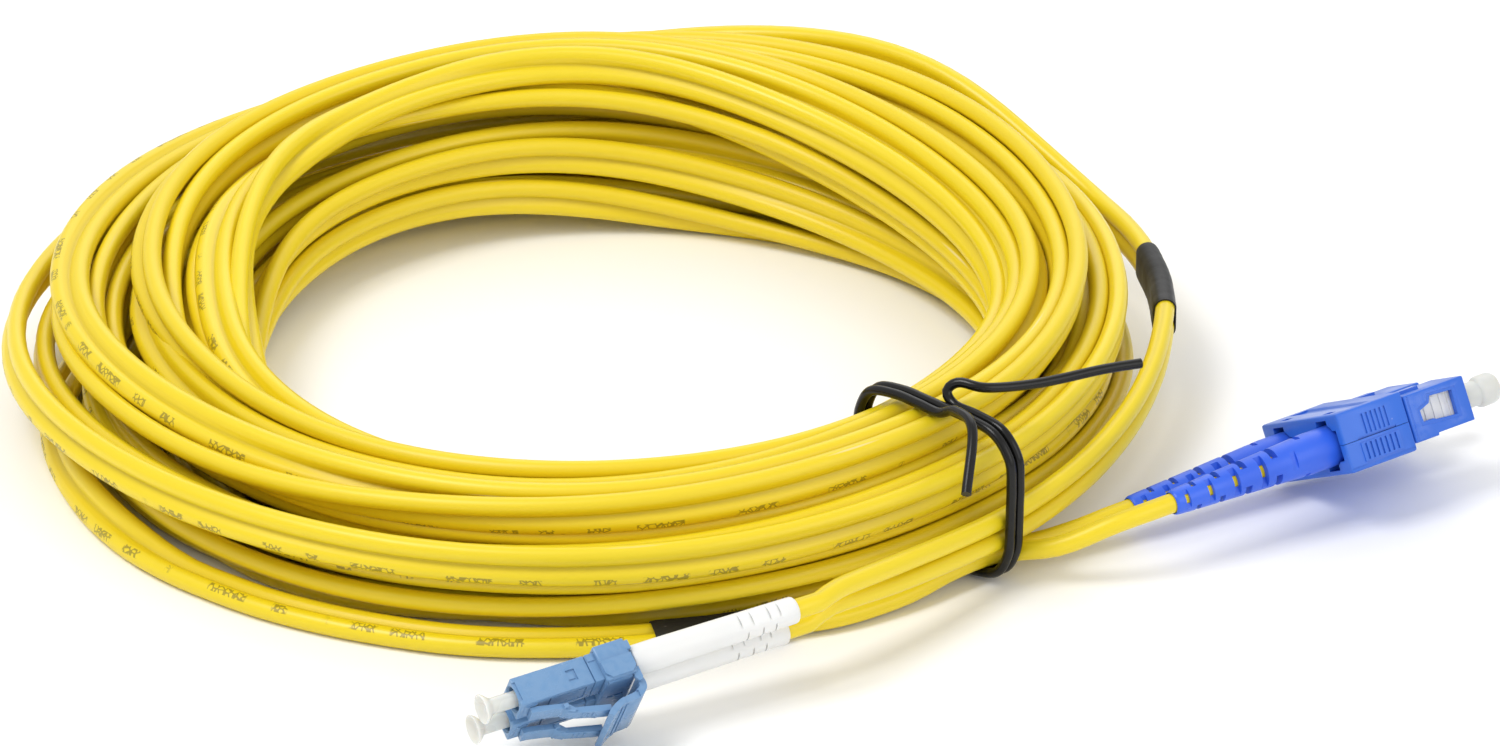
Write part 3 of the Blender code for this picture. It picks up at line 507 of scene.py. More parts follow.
def dust_group() -> bpy.types.NodeTree:
    """A shader group for sparse specks of dust: a mask of small soft dots."""
    g = new_group("dust_specks", "ShaderNodeTree",
                  {"Vector": ("NodeSocketVector", None), "Scale": ("NodeSocketFloat", 700.0)},
                  {"Specks": "NodeSocketFloat"})
    cells = g.add("ShaderNodeTexVoronoi", {"Vector": g.source["Vector"], "Scale": g.source["Scale"]})
    near = g.ramp(cells.outputs["Distance"], 0.16, 0.06)
    chance = g.add("ShaderNodeSeparateColor", {"Color": cells.outputs["Color"]}).outputs[0]
    g.tree.links.new(g.math("MULTIPLY", near, g.ramp(chance, 0.90, 0.94)), g.sink["Specks"])
    return g.tree


class EffectGroups:
    """The shader groups that the finishes share, each built once."""

    def __init__(self) -> None:
        """Builds the groups."""
        self.grain = grain_group()
        self.wear_and_shade = wear_and_crease_shade_group()
        self.dust = dust_group()


@dataclass(frozen=True)
class Finish:
    """A moulded, extruded or machined finish; what varies over it is in its nodes."""

    slot: Slot
    colour: Colour
    shade: Colour
    roughness: float
    roughness_spread: float = 0.08
    metallic: float = 0.0
    coat: float = 0.0
    subsurface: float = 0.0
    subsurface_reach_m: float = 0.0006
    specular: float = 0.5
    grain_scale: float = 2600.0
    grain_m: float = 0.00001
    patch_scale: float = 90.0
    edge_light: float = 0.25

    def start(self) -> tuple[Graph, bpy.types.Node]:
        """A new material's graph, and its Principled BSDF with the constant values set."""
        mat = bpy.data.materials.new("finish_" + self.slot.value)
        mat.use_nodes = True
        g = Graph(mat.node_tree)
        shader = mat.node_tree.nodes["Principled BSDF"]
        for socket, value in (("Metallic", self.metallic), ("Coat Weight", self.coat),
                              ("Coat Roughness", 0.12),
                              ("Subsurface Weight", self.subsurface), ("Specular IOR Level", self.specular),
                              ("Subsurface Scale", self.subsurface_reach_m)):
            shader.inputs[socket].default_value = value
        shader.inputs["Subsurface Radius"].default_value = (1.0, 0.8, 0.6)
        return g, shader

    def coordinates(self, g: Graph) -> bpy.types.NodeSocket:
        """Where the pattern is read: the piece's own place."""
        return g.add("ShaderNodeTexCoord").outputs["Object"]

    def material(self, groups: EffectGroups) -> bpy.types.Material:
        """Builds the material.

        Args:
            groups: the shared effects.

        Returns:
            A material whose colour, roughness and relief vary over the surface.
        """
        g, shader = self.start()
        place = self.coordinates(g)
        grain = g.add("ShaderNodeGroup", node_tree=groups.grain)
        wear_and_shade = g.add("ShaderNodeGroup", node_tree=groups.wear_and_shade)
        dust = g.add("ShaderNodeGroup", node_tree=groups.dust)
        for node in (grain, wear_and_shade, dust):
            g.tree.links.new(place, node.inputs["Vector"])
        grain.inputs["Grain Scale"].default_value = self.grain_scale
        grain.inputs["Patch Scale"].default_value = self.patch_scale
        tone = g.blend(grain.outputs["Patch"], rgba(self.colour), rgba(self.shade))
        pale = tuple(c + (1.0 - c) * self.edge_light for c in self.colour)
        tone = g.blend(g.math("MULTIPLY", wear_and_shade.outputs["Edge"], 0.12), tone, rgba(pale))
        # painted shade: concave creases are darkened towards a deeper tone
        crease_shade_tone = tuple(c * 0.6 for c in self.shade)
        tone = g.blend(g.math("MULTIPLY", wear_and_shade.outputs["Crease"], 0.1), tone, rgba(crease_shade_tone))
        tone = g.blend(g.math("MULTIPLY", dust.outputs["Specks"], 0.35), tone, rgba((0.75, 0.74, 0.70)))
        g.tree.links.new(self.marked(g, tone), shader.inputs["Base Color"])
        low, high = self.roughness - self.roughness_spread, self.roughness + self.roughness_spread
        rough = g.ramp(grain.outputs["Patch"], 0.0, 1.0, low, high)
        rough = g.math("ADD", rough, g.math("MULTIPLY", wear_and_shade.outputs["Edge"], -0.08), clamp=True)
        rough = g.math("ADD", rough, g.math("MULTIPLY", dust.outputs["Specks"], 0.3), clamp=True)
        g.tree.links.new(rough, shader.inputs["Roughness"])
        bump = g.add("ShaderNodeBump", {"Strength": 1.0, "Distance": self.grain_m,
                                        "Height": self.relief(g, grain.outputs["Relief"])})
        g.tree.links.new(bump.outputs[0], shader.inputs["Normal"])
        return bpy.data.materials["finish_" + self.slot.value]

    def marked(self, g: Graph, tone: bpy.types.NodeSocket) -> bpy.types.NodeSocket:
        """The colour after any marks on the surface; this finish has none."""
        return tone

    def relief(self, g: Graph, fine: bpy.types.NodeSocket) -> bpy.types.NodeSocket:
        """The height of the relief, in units of grain_m."""
        return fine


@dataclass(frozen=True)
class CordFinish(Finish):
    """An extruded jacket or sleeve, whose pattern runs along the cord and not through space."""

    stretch: float = 0.04
    # how strongly shade is painted into the groove between the two jackets
    groove_shade: float = 0.0
    printed: float = 0.0

    def coordinates(self, g: Graph) -> bpy.types.NodeSocket:
        """Where across the section and how far along the cord, drawn out lengthwise."""
        across = g.add("ShaderNodeAttribute", attribute_name="across").outputs["Vector"]
        along = g.add("ShaderNodeAttribute", attribute_name="along").outputs["Fac"]
        sides = g.add("ShaderNodeSeparateXYZ", {"Vector": across}).outputs
        drawn = g.math("MULTIPLY", along, self.stretch)
        return g.add("ShaderNodeCombineXYZ", {"X": sides[0], "Y": sides[1], "Z": drawn}).outputs[0]

    def marked(self, g: Graph, tone: bpy.types.NodeSocket) -> bpy.types.NodeSocket:
        """Paints shade into the groove between the two jackets, and prints one of them."""
        if not self.groove_shade:
            return tone
        across = g.add("ShaderNodeAttribute", attribute_name="across").outputs["Vector"]
        sides = g.add("ShaderNodeSeparateXYZ", {"Vector": across}).outputs
        # painted shade: the groove between the two jackets is darkened towards a deeper tone
        near = g.ramp(g.math("ABSOLUTE", sides[0]), 0.0006, 0.0, 0.0, self.groove_shade)
        tone = g.blend(near, tone, rgba(tuple(c * 0.7 for c in self.shade)))
        return g.blend(self.print_mask(g, sides), tone, rgba((0.075, 0.052, 0.012)))

    def print_mask(self, g: Graph, sides: Sequence[bpy.types.NodeSocket]) -> bpy.types.NodeSocket:
        """Where the line of printing is: groups of short strokes that spell nothing.

        Args:
            g: the material's graph.
            sides: where across the section, as separate values.

        Returns:
            The share of ink.
        """
        along = g.add("ShaderNodeAttribute", attribute_name="along").outputs["Fac"]
        off_line = g.math("ABSOLUTE", g.math("SUBTRACT", sides[0], 0.0022))
        band = g.math("MULTIPLY", g.ramp(off_line, 0.00062, 0.00052), g.math("LESS_THAN", sides[1], 0.0))
        place = g.add("ShaderNodeCombineXYZ", {"X": along, "Y": sides[0]}).outputs[0]
        strokes = g.add("ShaderNodeTexVoronoi", {"Vector": place, "Scale": 1300.0},
                        feature="DISTANCE_TO_EDGE")
        ink = g.ramp(strokes.outputs["Distance"], 0.16, 0.08)
        words = g.add("ShaderNodeTexNoise", {"W": along, "Scale": 140.0, "Detail": 0.0},
                      noise_dimensions="1D")
        group = g.ramp(words.outputs["Fac"], 0.50, 0.53, 0.0, self.printed)
        return g.math("MULTIPLY", g.math("MULTIPLY", ink, band), group)


FINISHES: dict[Slot, Finish] = {f.slot: f for f in (
    CordFinish(Slot.JACKET, (0.81, 0.628, 0.011), (0.78, 0.588, 0.009), 0.38, 0.05, subsurface=0.05,
               grain_scale=1500.0, grain_m=0.000012, patch_scale=60.0, edge_light=0.0, groove_shade=0.5,
               printed=0.62),
    CordFinish(Slot.TIE, (0.005, 0.005, 0.0045), (0.007, 0.0065, 0.006), 0.26, 0.05, specular=0.32,
               grain_scale=1800.0, grain_m=0.00003, edge_light=0.02),
    CordFinish(Slot.SLEEVE, (0.014, 0.014, 0.014), (0.02, 0.02, 0.0195), 0.5, 0.08, specular=0.35,
               grain_scale=900.0, grain_m=0.00006, edge_light=0.05, stretch=0.5),
    Finish(Slot.BUFFER, (0.90, 0.88, 0.80), (0.84, 0.82, 0.74), 0.4),
    Finish(Slot.LC_BLUE, (0.150, 0.295, 0.505), (0.135, 0.272, 0.480), 0.30, 0.06, grain_m=0.000012),
    Finish(Slot.SC_BLUE, (0.028, 0.142, 0.640), (0.024, 0.128, 0.600), 0.34, 0.06, grain_m=0.000012),
    Finish(Slot.BOOT_BLUE, (0.030, 0.125, 0.740), (0.026, 0.112, 0.700), 0.40, 0.06, subsurface=0.05),
    Finish(Slot.WHITE, (0.80, 0.80, 0.785), (0.77, 0.77, 0.755), 0.42, 0.06, subsurface=0.12,
           edge_light=0.5),
    Finish(Slot.CAP, (0.66, 0.67, 0.64), (0.62, 0.63, 0.60), 0.30, 0.06, subsurface=0.7,
           subsurface_reach_m=0.0015, edge_light=0.4),
    Finish(Slot.CERAMIC, (0.90, 0.89, 0.86), (0.87, 0.86, 0.83), 0.14, 0.04, coat=0.3, grain_m=0.000002),
    Finish(Slot.METAL, (0.62, 0.62, 0.64), (0.55, 0.55, 0.57), 0.30, 0.08, metallic=1.0,
           grain_scale=5000.0, grain_m=0.000004),
)}


class FinishShop:
    """Makes each material once and dresses pieces with it."""

    def __init__(self) -> None:
        """Builds the shared groups."""
        self.groups = EffectGroups()
        self.made: dict[Slot, bpy.types.Material] = {}

    def material(self, slot: Slot) -> bpy.types.Material:
        """The material of a slot, built on first use."""
        if slot not in self.made:
            self.made[slot] = FINISHES[slot].material(self.groups)
        return self.made[slot]

    def dress(self, obj: bpy.types.Object, slot: Slot) -> bpy.types.Object:
        """Gives a piece its slot's material on every face. Returns the piece."""
        obj.data.materials.clear()
        obj.data.materials.append(self.material(slot))
        for face in obj.data.polygons:
            face.material_index = 0
        return obj

    def install(self, obj: bpy.types.Object, slot: Slot, body: str, *nodes: str) -> bpy.types.Object:
        """Dresses a finished piece and hands it to the frame.

        Args:
            obj: the piece, in its final place.
            slot: its finish.
            body: the CAD body that it rides on.
            nodes: the CAD nodes that it stands for.

        Returns:
            The piece.
        """
        self.dress(obj, slot)
        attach(obj, body)
        if nodes:
            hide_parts(*nodes)
        LOG.info("%s: %d faces, on %s, for %s", obj.name, len(obj.data.polygons), body,
                 ", ".join(nodes) or "itself")
        return obj


# ---------------------------------------------------------------------------------------------
# The cord
# ---------------------------------------------------------------------------------------------

COIL_CENTRE = Vector((-23.58, 19.16, 0.0)) * MM


@dataclass(frozen=True)
class DuplexCord:
    """The duplex cord's own sizes, in metres."""

    jacket_m: float = 3.0 * MM
    pitch_m: float = 3.2 * MM
    web_m: float = 0.9 * MM

    @property
    def width_m(self) -> float:
        """Across both jackets."""
        return self.jacket_m + self.pitch_m

    def single(self, sides: int = 20) -> list[tuple[float, float]]:
        """The section of one jacket."""
        r = self.jacket_m / 2
        return [(r * math.cos(2 * math.pi * k / sides),
                 r * math.sin(2 * math.pi * k / sides)) for k in range(sides)]

    def double(self, half: int = 10) -> list[tuple[float, float]]:
        """The section of both jackets side by side, joined by a narrow web."""
        r, offset = self.jacket_m / 2, self.pitch_m / 2
        opening = math.asin(self.web_m / 2 / r)
        points = []
        for sign in (1, -1):
            for k in range(half):
                a = -(math.pi - opening) + 2 * (math.pi - opening) * k / (half - 1)
                points.append((sign * (offset + r * math.cos(a)), sign * r * math.sin(a)))
        return points


def smooth_line(points: Sequence[Sequence[float]], step: float) -> np.ndarray:
    """Points about every step along the smooth curve through the given points."""
    pts = np.asarray(points, float)
    ends = np.vstack([2 * pts[0] - pts[1], pts, 2 * pts[-1] - pts[-2]])
    fine = []
    for p0, p1, p2, p3 in zip(ends, ends[1:], ends[2:], ends[3:]):
        t = np.linspace(0, 1, 24, endpoint=False)[:, None]
        fine.append(0.5 * (2 * p1 + (p2 - p0) * t + (2 * p0 - 5 * p1 + 4 * p2 - p3) * t**2
                           + (3 * p1 - p0 - 3 * p2 + p3) * t**3))
    fine = np.vstack([*fine, pts[-1:]])
    run = np.concatenate([[0.0], np.cumsum(np.linalg.norm(np.diff(fine, axis=0), axis=1))])
    at = np.linspace(0.0, run[-1], max(3, round(run[-1] / step) + 1))
    return np.stack([np.interp(at, run, fine[:, k]) for k in range(3)], axis=1)


class CordLine:
    """Sweeps sections along lines with one shared geometry tree."""

    def __init__(self) -> None:
        """Builds the tree once."""
        self.tree = sweep_tree()

    def sweep(self, name: str, line: np.ndarray, section: Outline, tilt: np.ndarray | None = None,
              level: bool = False) -> bpy.types.Object:
        """Carries a section along a line.

        Args:
            name: the piece's name.
            line: points in metres, in the row frame.
            section: (across, up) points, in metres.
            tilt: the section's turn at each point, in radians.
            level: True to keep the section's first axis level before it is tilted.

        Returns:
            A closed, smooth-shaded mesh object at the origin.
        """
        base = bpy.data.meshes.new(name)
        base.from_pydata([tuple(p) for p in line], [(k, k + 1) for k in range(len(line) - 1)], [])
        turn = base.attributes.new("tilt", "FLOAT", "POINT")
        turn.data.foreach_set("value", np.zeros(len(line)) if tilt is None else tilt)
        outline = bpy.data.meshes.new(name + "_section")
        count = len(section)
        outline.from_pydata([(x, y, 0.0) for x, y in section], [(k, (k + 1) % count) for k in range(count)],
                            [])
        guide = linked(name + "_section", outline)
        mesh = grown(name, base, self.tree, {"Section": guide, "Level": level})
        bpy.data.objects.remove(guide)
        mesh.shade_smooth()
        mesh.set_sharp_from_angle(angle=math.radians(60))
        return linked(name, mesh)


@dataclass(frozen=True)
class CoilShape:
    """The coil's outer shape around its own centre: the space that its turns fill.

    sections holds, by angle in degrees, the inner radius, outer radius, bottom and top.
    """

    sections: dict[int, tuple[float, float, float, float]] = field(default_factory=lambda: {
        0: (61.0, 85.6, 0.0, 27.5), 45: (57.5, 86.2, 0.0, 30.0), 90: (56.0, 84.8, 0.0, 31.8),
        135: (54.0, 88.5, 0.0, 27.0), 180: (50.0, 91.0, 0.0, 23.0), 225: (54.0, 87.0, 0.0, 21.5),
        270: (56.0, 84.2, 0.0, 22.0), 315: (59.3, 83.4, 2.4, 24.4)})
    shoulder: float = 5.0
    foot: float = 8.2
    foot_from: float = -112.0
    foot_to: float = -20.0
    gathered_at: float = -43.5

    def at(self, degrees: np.ndarray) -> np.ndarray:
        """The four sizes at each angle, one column for each."""
        keys = sorted(self.sections)
        span = 360 / len(keys)
        place = (degrees % 360) / span
        low = place.astype(int)
        share = 0.5 - 0.5 * np.cos(np.pi * (place - low))
        table = np.array([self.sections[k] for k in keys])
        return table[low % len(keys)] * (1 - share[:, None]) + table[(low + 1) % len(keys)] * share[:, None]

    def foot_at(self, degrees: np.ndarray) -> np.ndarray:
        """The chamfer along the outer foot, where the ends of the cord run."""
        middle, half = (self.foot_from + self.foot_to) / 2, (self.foot_to - self.foot_from) / 2
        away = np.abs((degrees - middle + 180) % 360 - 180)
        return 2.0 + (self.foot - 2.0) * np.clip((half + 12 - away) / 12, 0, 1)

    def looseness(self, degrees: np.ndarray) -> np.ndarray:
        """0 where the tie gathers the turns, 1 opposite it."""
        return 0.5 - 0.5 * np.cos(np.radians(degrees - self.gathered_at))


@dataclass
class Coil:
    """The coiled duplex cord: every turn, laid by relaxing stiff strands against each other.

    Angles are in degrees and lengths in millimetres, around the coil's own centre.
    """

    shape: CoilShape = field(default_factory=CoilShape)
    cord: DuplexCord = field(default_factory=DuplexCord)
    full_turns: int = 21
    steps_per_turn: int = 72
    rows: int = 4
    columns: int = 6
    swirl: float = 26.0
    wander: float = 0.05
    turned_over: float = 40.0
    web_reach: float = 0.8
    clearance: float = 0.06
    seed: int = 11
    rounds: int = 480
    easing: float = 9.0

    lc_tail: tuple[Point, ...] = ((88.25, 8.4, 13.5), (86.6, 20.5, 13.5), (83.0, 32.0, 13.5),
                                  (78.4, 41.6, 13.5))
    sc_tail: tuple[Point, ...] = ((20.9, -78.75, 2.05), (10.3, -81.0, 2.05), (-0.6, -81.9, 1.9),
                                  (-11.6, -81.7, 1.8), (-21.4, -80.1, 1.7), (-35.2, -75.5, 1.65),
                                  (-48.2, -68.8, 1.65), (-59.8, -59.8, 1.65))

    def slots(self, turns: np.ndarray, rng: np.random.Generator) -> tuple[np.ndarray, np.ndarray,
                                                                          np.ndarray]:
        """Where each point of the cord would like to be in the coil's section.

        Args:
            turns: how many turns along the cord each point is.
            rng: the source of the wander.

        Returns:
            The shares across and up the section, and the section's tilt in degrees.
        """
        half = self.rows // 2
        inward = [(c, r) for c in range(self.columns) for r in (range(self.rows - 1, half - 1,
                                                                      -1) if c % 2 == 0
                                                                else range(half, self.rows))]
        outward = [(c, r) for c in range(self.columns - 1, -1,
                                         -1) for r in (range(half - 1, -1, -1) if c % 2
                                                                             else range(half))]
        order = np.array([(1 - (c + 0.5) / self.columns, (r + 0.5) / self.rows) for c,
                          r in inward + outward])
        order = order[: self.full_turns + 2]
        whole = np.clip(turns.astype(int), 0, len(order) - 2)
        share = turns - whole
        share = share * share * (3 - 2 * share)
        place = order[whole] * (1 - share[:, None]) + order[whole + 1] * share[:, None]
        across, up = place[:, 0] - 0.5, place[:, 1] - 0.5
        turn = np.radians(self.swirl) * (np.sin(2 * np.pi * turns + 2.4)
                                         + 0.4 * np.sin(4 * np.pi * turns + 0.5))
        across, up = across * np.cos(turn) - up * np.sin(turn), across * np.sin(turn) + up * np.cos(turn)
        tilt = 90.0 + np.degrees(turn)
        for wave in range(1, 4):
            phase = rng.uniform(0, 2 * np.pi, 3)
            rate = wave * (0.23 + 0.09 * rng.random(3))
            size = self.wander / wave
            across = across + size * np.sin(2 * np.pi * rate[0] * turns + phase[0])
            up = up + size * np.sin(2 * np.pi * rate[1] * turns + phase[1])
            tilt = tilt + self.turned_over / wave * np.sin(2 * np.pi * rate[2] * turns + phase[2])
        return across + 0.5, up + 0.5, tilt

    def pinned(self, degrees: np.ndarray) -> tuple[np.ndarray, np.ndarray]:
        """Where the two ends lie outside the bundle.

        Args:
            degrees: the angle of each point, growing along the whole cord.

        Returns:
            Which points are held, and their radius, height and tilt.
        """
        held = np.zeros(len(degrees), bool)
        value = np.zeros((len(degrees), 3))
        for tail, tilt, at_start in ((self.lc_tail, 90.0, True), (self.sc_tail, 0.0, False)):
            pts = smooth_line(tail, 2.0)
            angle = np.degrees(np.arctan2(pts[:, 1], pts[:, 0]))
            radius = np.hypot(pts[:, 0], pts[:, 1])
            here = degrees if at_start else degrees - 360.0 * round((degrees[-1] - angle[0]) / 360.0)
            order = np.argsort(angle)
            inside = (here <= angle.max()) if at_start else (here >= angle.min())
            held |= inside
            value[inside, 0] = np.interp(here[inside], angle[order], radius[order])
            value[inside, 1] = np.interp(here[inside], angle[order], pts[order, 2])
            value[inside, 2] = np.radians(tilt)
        return held, value

    def lay(self) -> tuple[np.ndarray, np.ndarray]:
        """Relaxes the strands over a fixed number of rounds, pushing apart those that lie in another.

        Returns:
            The cord's line in metres in the row frame, and its tilt in radians.
        """
        rng = np.random.default_rng(self.seed)
        per, step = self.steps_per_turn, 360.0 / self.steps_per_turn
        start = math.degrees(math.atan2(self.lc_tail[0][1], self.lc_tail[0][0]))
        end = math.degrees(math.atan2(self.sc_tail[0][1],
                                      self.sc_tail[0][0])) + 360.0 * (self.full_turns + 1)
        count = round((end - start) / step) + 1
        degrees = start + step * np.arange(count)
        strands = -(-count // per)
        across, up, tilt = self.slots((degrees - start) / 360.0, rng)
        inner, outer, bottom, top = self.shape.at(degrees).T
        loose = self.shape.looseness(degrees)
        across = 0.5 + (across - 0.5) * (0.86 + 0.14 * loose)
        state = np.stack([inner + (outer - inner) * np.clip(across, 0.03, 0.97),
                          bottom + (top - bottom) * np.clip(up, 0.03, 0.97), np.radians(tilt)], axis=1)
        held, value = self.pinned(degrees)
        state[held] = value[held]
        wished = state.copy()
        padded_count = strands * per
        angle = start + step * np.arange(per)
        limits = self.shape.at(angle)
        foot = self.shape.foot_at(angle)
        r, half = self.cord.jacket_m / MM / 2, self.cord.pitch_m / MM / 2
        live = np.zeros(padded_count, bool)
        live[:count] = True
        live = live.reshape(strands, per).T
        fixed = np.zeros(padded_count, bool)
        fixed[:count] = held
        free = (live & ~fixed.reshape(strands, per).T)
        after = np.arange(count) - np.flatnonzero(~held)[0]
        before = np.flatnonzero(~held)[-1] - np.arange(count)
        hold = np.zeros(padded_count)
        hold[:count] = np.clip(np.minimum(after, before) / self.easing, 0, 1)
        hold = hold.reshape(strands, per).T[..., None]
        for turn in range(self.rounds):
            calm = turn / self.rounds
            grid = np.zeros((padded_count, 3))
            grid[:count] = state
            grid = grid.reshape(strands, per, 3).transpose(1, 0, 2)
            push = self.push(grid, live, free, r, half)
            push += hold * self.walls(grid + push, free, limits, foot, r, half)
            flat = push.transpose(1, 0, 2).reshape(padded_count, 3)[:count]
            for _ in range(3 if calm < 0.8 else 1):
                flat[1:-1] = 0.5 * flat[1:-1] + 0.25 * (flat[:-2] + flat[2:])
            flat[~held] += 0.012 * (1 - calm) * (wished - state)[~held]
            flat[~held, 1] -= 0.02 * (1 - calm)
            flat[held] = 0.0
            state = state + flat
            bend = np.zeros_like(state)
            bend[2:-2] = state[:-4] - 4 * state[1:-3] + 6 * state[2:-2] - 4 * state[3:-1] + state[4:]
            bend[held] = 0.0
            state -= 0.045 * bend
        LOG.info("coil: %d points on %d strands", count, strands)
        return self.line_of(degrees, state)

    def line_of(self, degrees: np.ndarray, state: np.ndarray, finer: int = 2) -> tuple[np.ndarray,
                                                                                       np.ndarray]:
        """The smooth line through the relaxed points.

        Args:
            degrees: each point's angle.
            state: each point's radius, height and tilt.
            finer: how many points the line has for each relaxed one.

        Returns:
            Points in metres in the row frame, and the tilt at each.
        """
        rows = np.column_stack([degrees, state])
        ends = np.vstack([2 * rows[0] - rows[1], rows, 2 * rows[-1] - rows[-2]])
        fine = []
        for part in range(finer):
            t = part / finer
            p0, p1, p2, p3 = ends[:-3], ends[1:-2], ends[2:-1], ends[3:]
            fine.append(0.5 * (2 * p1 + (p2 - p0) * t + (2 * p0 - 5 * p1 + 4 * p2 - p3) * t**2
                               + (3 * p1 - p0 - 3 * p2 + p3) * t**3))
        fine = np.vstack([np.stack(fine, axis=1).reshape(-1, 4), rows[-1:]])
        angle = np.radians(fine[:, 0])
        line = np.column_stack([fine[:, 1] * np.cos(angle), fine[:, 1] * np.sin(angle), fine[:, 2]]) * MM
        return line + np.array(COIL_CENTRE), fine[:, 3]

    def push(self, grid: np.ndarray, live: np.ndarray, free: np.ndarray, r: float,
             half: float) -> np.ndarray:
        """How jackets in one section push each other apart.

        Args:
            grid: radius, height and tilt by angle and strand.
            live: which places hold cord.
            free: which places may move.
            r: a jacket's radius.
            half: from the cord's middle to a jacket's.

        Returns:
            The move of each place.
        """
        strands = grid.shape[1]
        arm = np.stack([np.cos(grid[..., 2]), np.sin(grid[..., 2])], axis=2) * half
        rounds = np.concatenate([grid[..., :2] + arm, grid[..., :2] - arm, grid[..., :2]], axis=1)
        reach = np.repeat([r, r, self.web_reach * r], strands)
        owner = np.tile(np.arange(strands), 3)
        gap = rounds[:, :, None] - rounds[:, None]
        far = np.sqrt((gap * gap).sum(axis=3)) + 1e-9
        real = np.concatenate([live] * 3, axis=1)
        mates = (owner[:, None] != owner[None]) & real[:, :, None] & real[:, None]
        depth = np.where(mates, np.clip(reach[:, None] + reach + self.clearance - far, 0, None), 0.0)
        force = ((depth / far)[..., None] * gap).sum(axis=2) * 0.40
        first, second, middle = force[:, :strands], force[:, strands:-strands], force[:, -strands:]
        move = np.zeros_like(grid)
        move[..., :2] = (first + second) / 2 + 0.6 * middle
        twist = first - second
        move[..., 2] = (arm[..., 0] * twist[..., 1] - arm[..., 1] * twist[..., 0]) / (2 * half * half)
        return np.clip(move, -0.5, 0.5) * free[..., None]

    def walls(self, grid: np.ndarray, free: np.ndarray, limits: np.ndarray, foot: np.ndarray,
              r: float, half: float) -> np.ndarray:
        """How the coil's outer shape pushes jackets back in.

        Args:
            grid: radius, height and tilt by angle and strand.
            free: which places may move.
            limits: inner radius, outer radius, bottom and top by angle.
            foot: the chamfer of the outer foot by angle.
            r: a jacket's radius.
            half: from the cord's middle to a jacket's.

        Returns:
            The move of each place.
        """
        inner, outer, bottom, top = (column[:, None] for column in limits.T)
        arm = np.stack([np.cos(grid[..., 2]), np.sin(grid[..., 2])], axis=2) * half
        move = np.zeros_like(grid)
        diagonal = r * math.sqrt(2)
        for sign in (1, -1):
            x, z = grid[..., 0] + sign * arm[..., 0], grid[..., 1] + sign * arm[..., 1]
            out = np.clip(inner + r - x, 0, None) - np.clip(x - outer + r, 0, None)
            rise = np.clip(bottom + r - z, 0, None) - np.clip(z - top + r, 0, None)
            corners = ((-1, outer - x, -1, top - z, self.shape.shoulder),
                       (1, x - inner, -1, top - z, self.shape.shoulder),
                       (-1, outer - x, 1, z - bottom, foot[:, None]))
            for side, across, lift, up, size in corners:
                short = np.clip(size + diagonal - across - up, 0, None) / 2
                out = out + side * short
                rise = rise + lift * short
            move[..., 0] += out / 2
            move[..., 1] += rise / 2
            move[..., 2] += sign * (arm[..., 0] * rise - arm[..., 1] * out) / (2 * half * half)
        return np.clip(move, -0.6, 0.6) * free[..., None]


@dataclass(frozen=True)
class LegRoute:
    """The route of one leg, around the coil's centre, in millimetres, and where it belongs."""

    name: str
    plug: str
    points: tuple[Point, ...]
    split_end: Point


LC_LEGS = (
    LegRoute("lc_a_leg", "lc_a", (
        (37.5, -88.6, 14.6), (46.0, -79.2, 13.4), (54.0, -69.4, 11.8), (61.8, -60.2, 10.9), (69.5, -51.0,
                                                                                             11.3),
        (76.6, -40.0, 12.0), (82.5, -27.5, 13.2), (86.4, -14.0, 14.3), (88.5, 0.5, 15.1), (88.3, 8.0,
                                                                                           15.1)),
        (88.3, 8.0, 15.1)),
    LegRoute("lc_b_leg", "lc_b", (
        (36.2, -86.6, 10.6), (45.4, -78.3, 9.6), (53.9, -69.2, 8.5), (61.9, -60.0, 7.6), (69.6, -50.8, 8.0),
        (76.7, -39.8, 8.8), (82.5, -27.3, 10.0), (86.4, -13.8, 11.1), (88.5, 0.5, 11.9), (88.3, 8.0, 11.9)),
        (88.3, 8.0, 11.9)),
)
SC_LEGS = (
    LegRoute("sc_a_leg", "sc_a", (
        (78.4, -60.2, 9.9), (70.2, -60.6, 6.4), (61.3, -58.3, 4.0), (54.6, -62.6, 3.5), (47.5, -68.5, 2.5),
        (38.5, -74.0, 2.05), (29.9, -77.1, 2.05), (22.0, -80.0, 2.05)), (22.0, -80.0, 2.05)),
    LegRoute("sc_b_leg", "sc_b", (
        (73.0, -51.5, 4.3), (66.0, -54.6, 3.7), (58.7, -55.8, 3.8), (51.9, -60.7, 3.4), (44.8, -66.1, 2.4),
        (36.7, -71.1, 2.05), (28.9, -74.1, 2.05), (21.2, -77.0, 2.05)), (21.2, -77.0, 2.05)),
)


@dataclass
class Legs:
    """The four single legs between the boots and the splits."""

    lines: CordLine
    shop: FinishShop
    cord: DuplexCord = field(default_factory=DuplexCord)
    step_m: float = 2.4 * MM

    def build(self, route: LegRoute, plug: PlugFrame, rear_x: float, exit_x: float,
              pieces: Sequence[bpy.types.Object]) -> None:
        """Makes one leg, from inside its boot to its split.

        Args:
            route: where it goes.
            plug: the plug that it belongs to.
            rear_x: where it starts inside the boot, in millimetres.
            exit_x: the boot's rear end, in millimetres.
            pieces: the plug's pieces that the leg runs into; not used.
        """
        straight = [plug.place @ (Vector((x, plug.y, 0.0)) * MM) for x in (rear_x, exit_x + 8, exit_x,
                                                                           exit_x - 4)]
        points = straight + [COIL_CENTRE + Vector(p) * MM for p in route.points]
        line = smooth_line(points, self.step_m)
        leg = self.lines.sweep(route.name + "_jacket", line, self.cord.single())
        self.shop.install(leg, Slot.JACKET, "root", route.name)


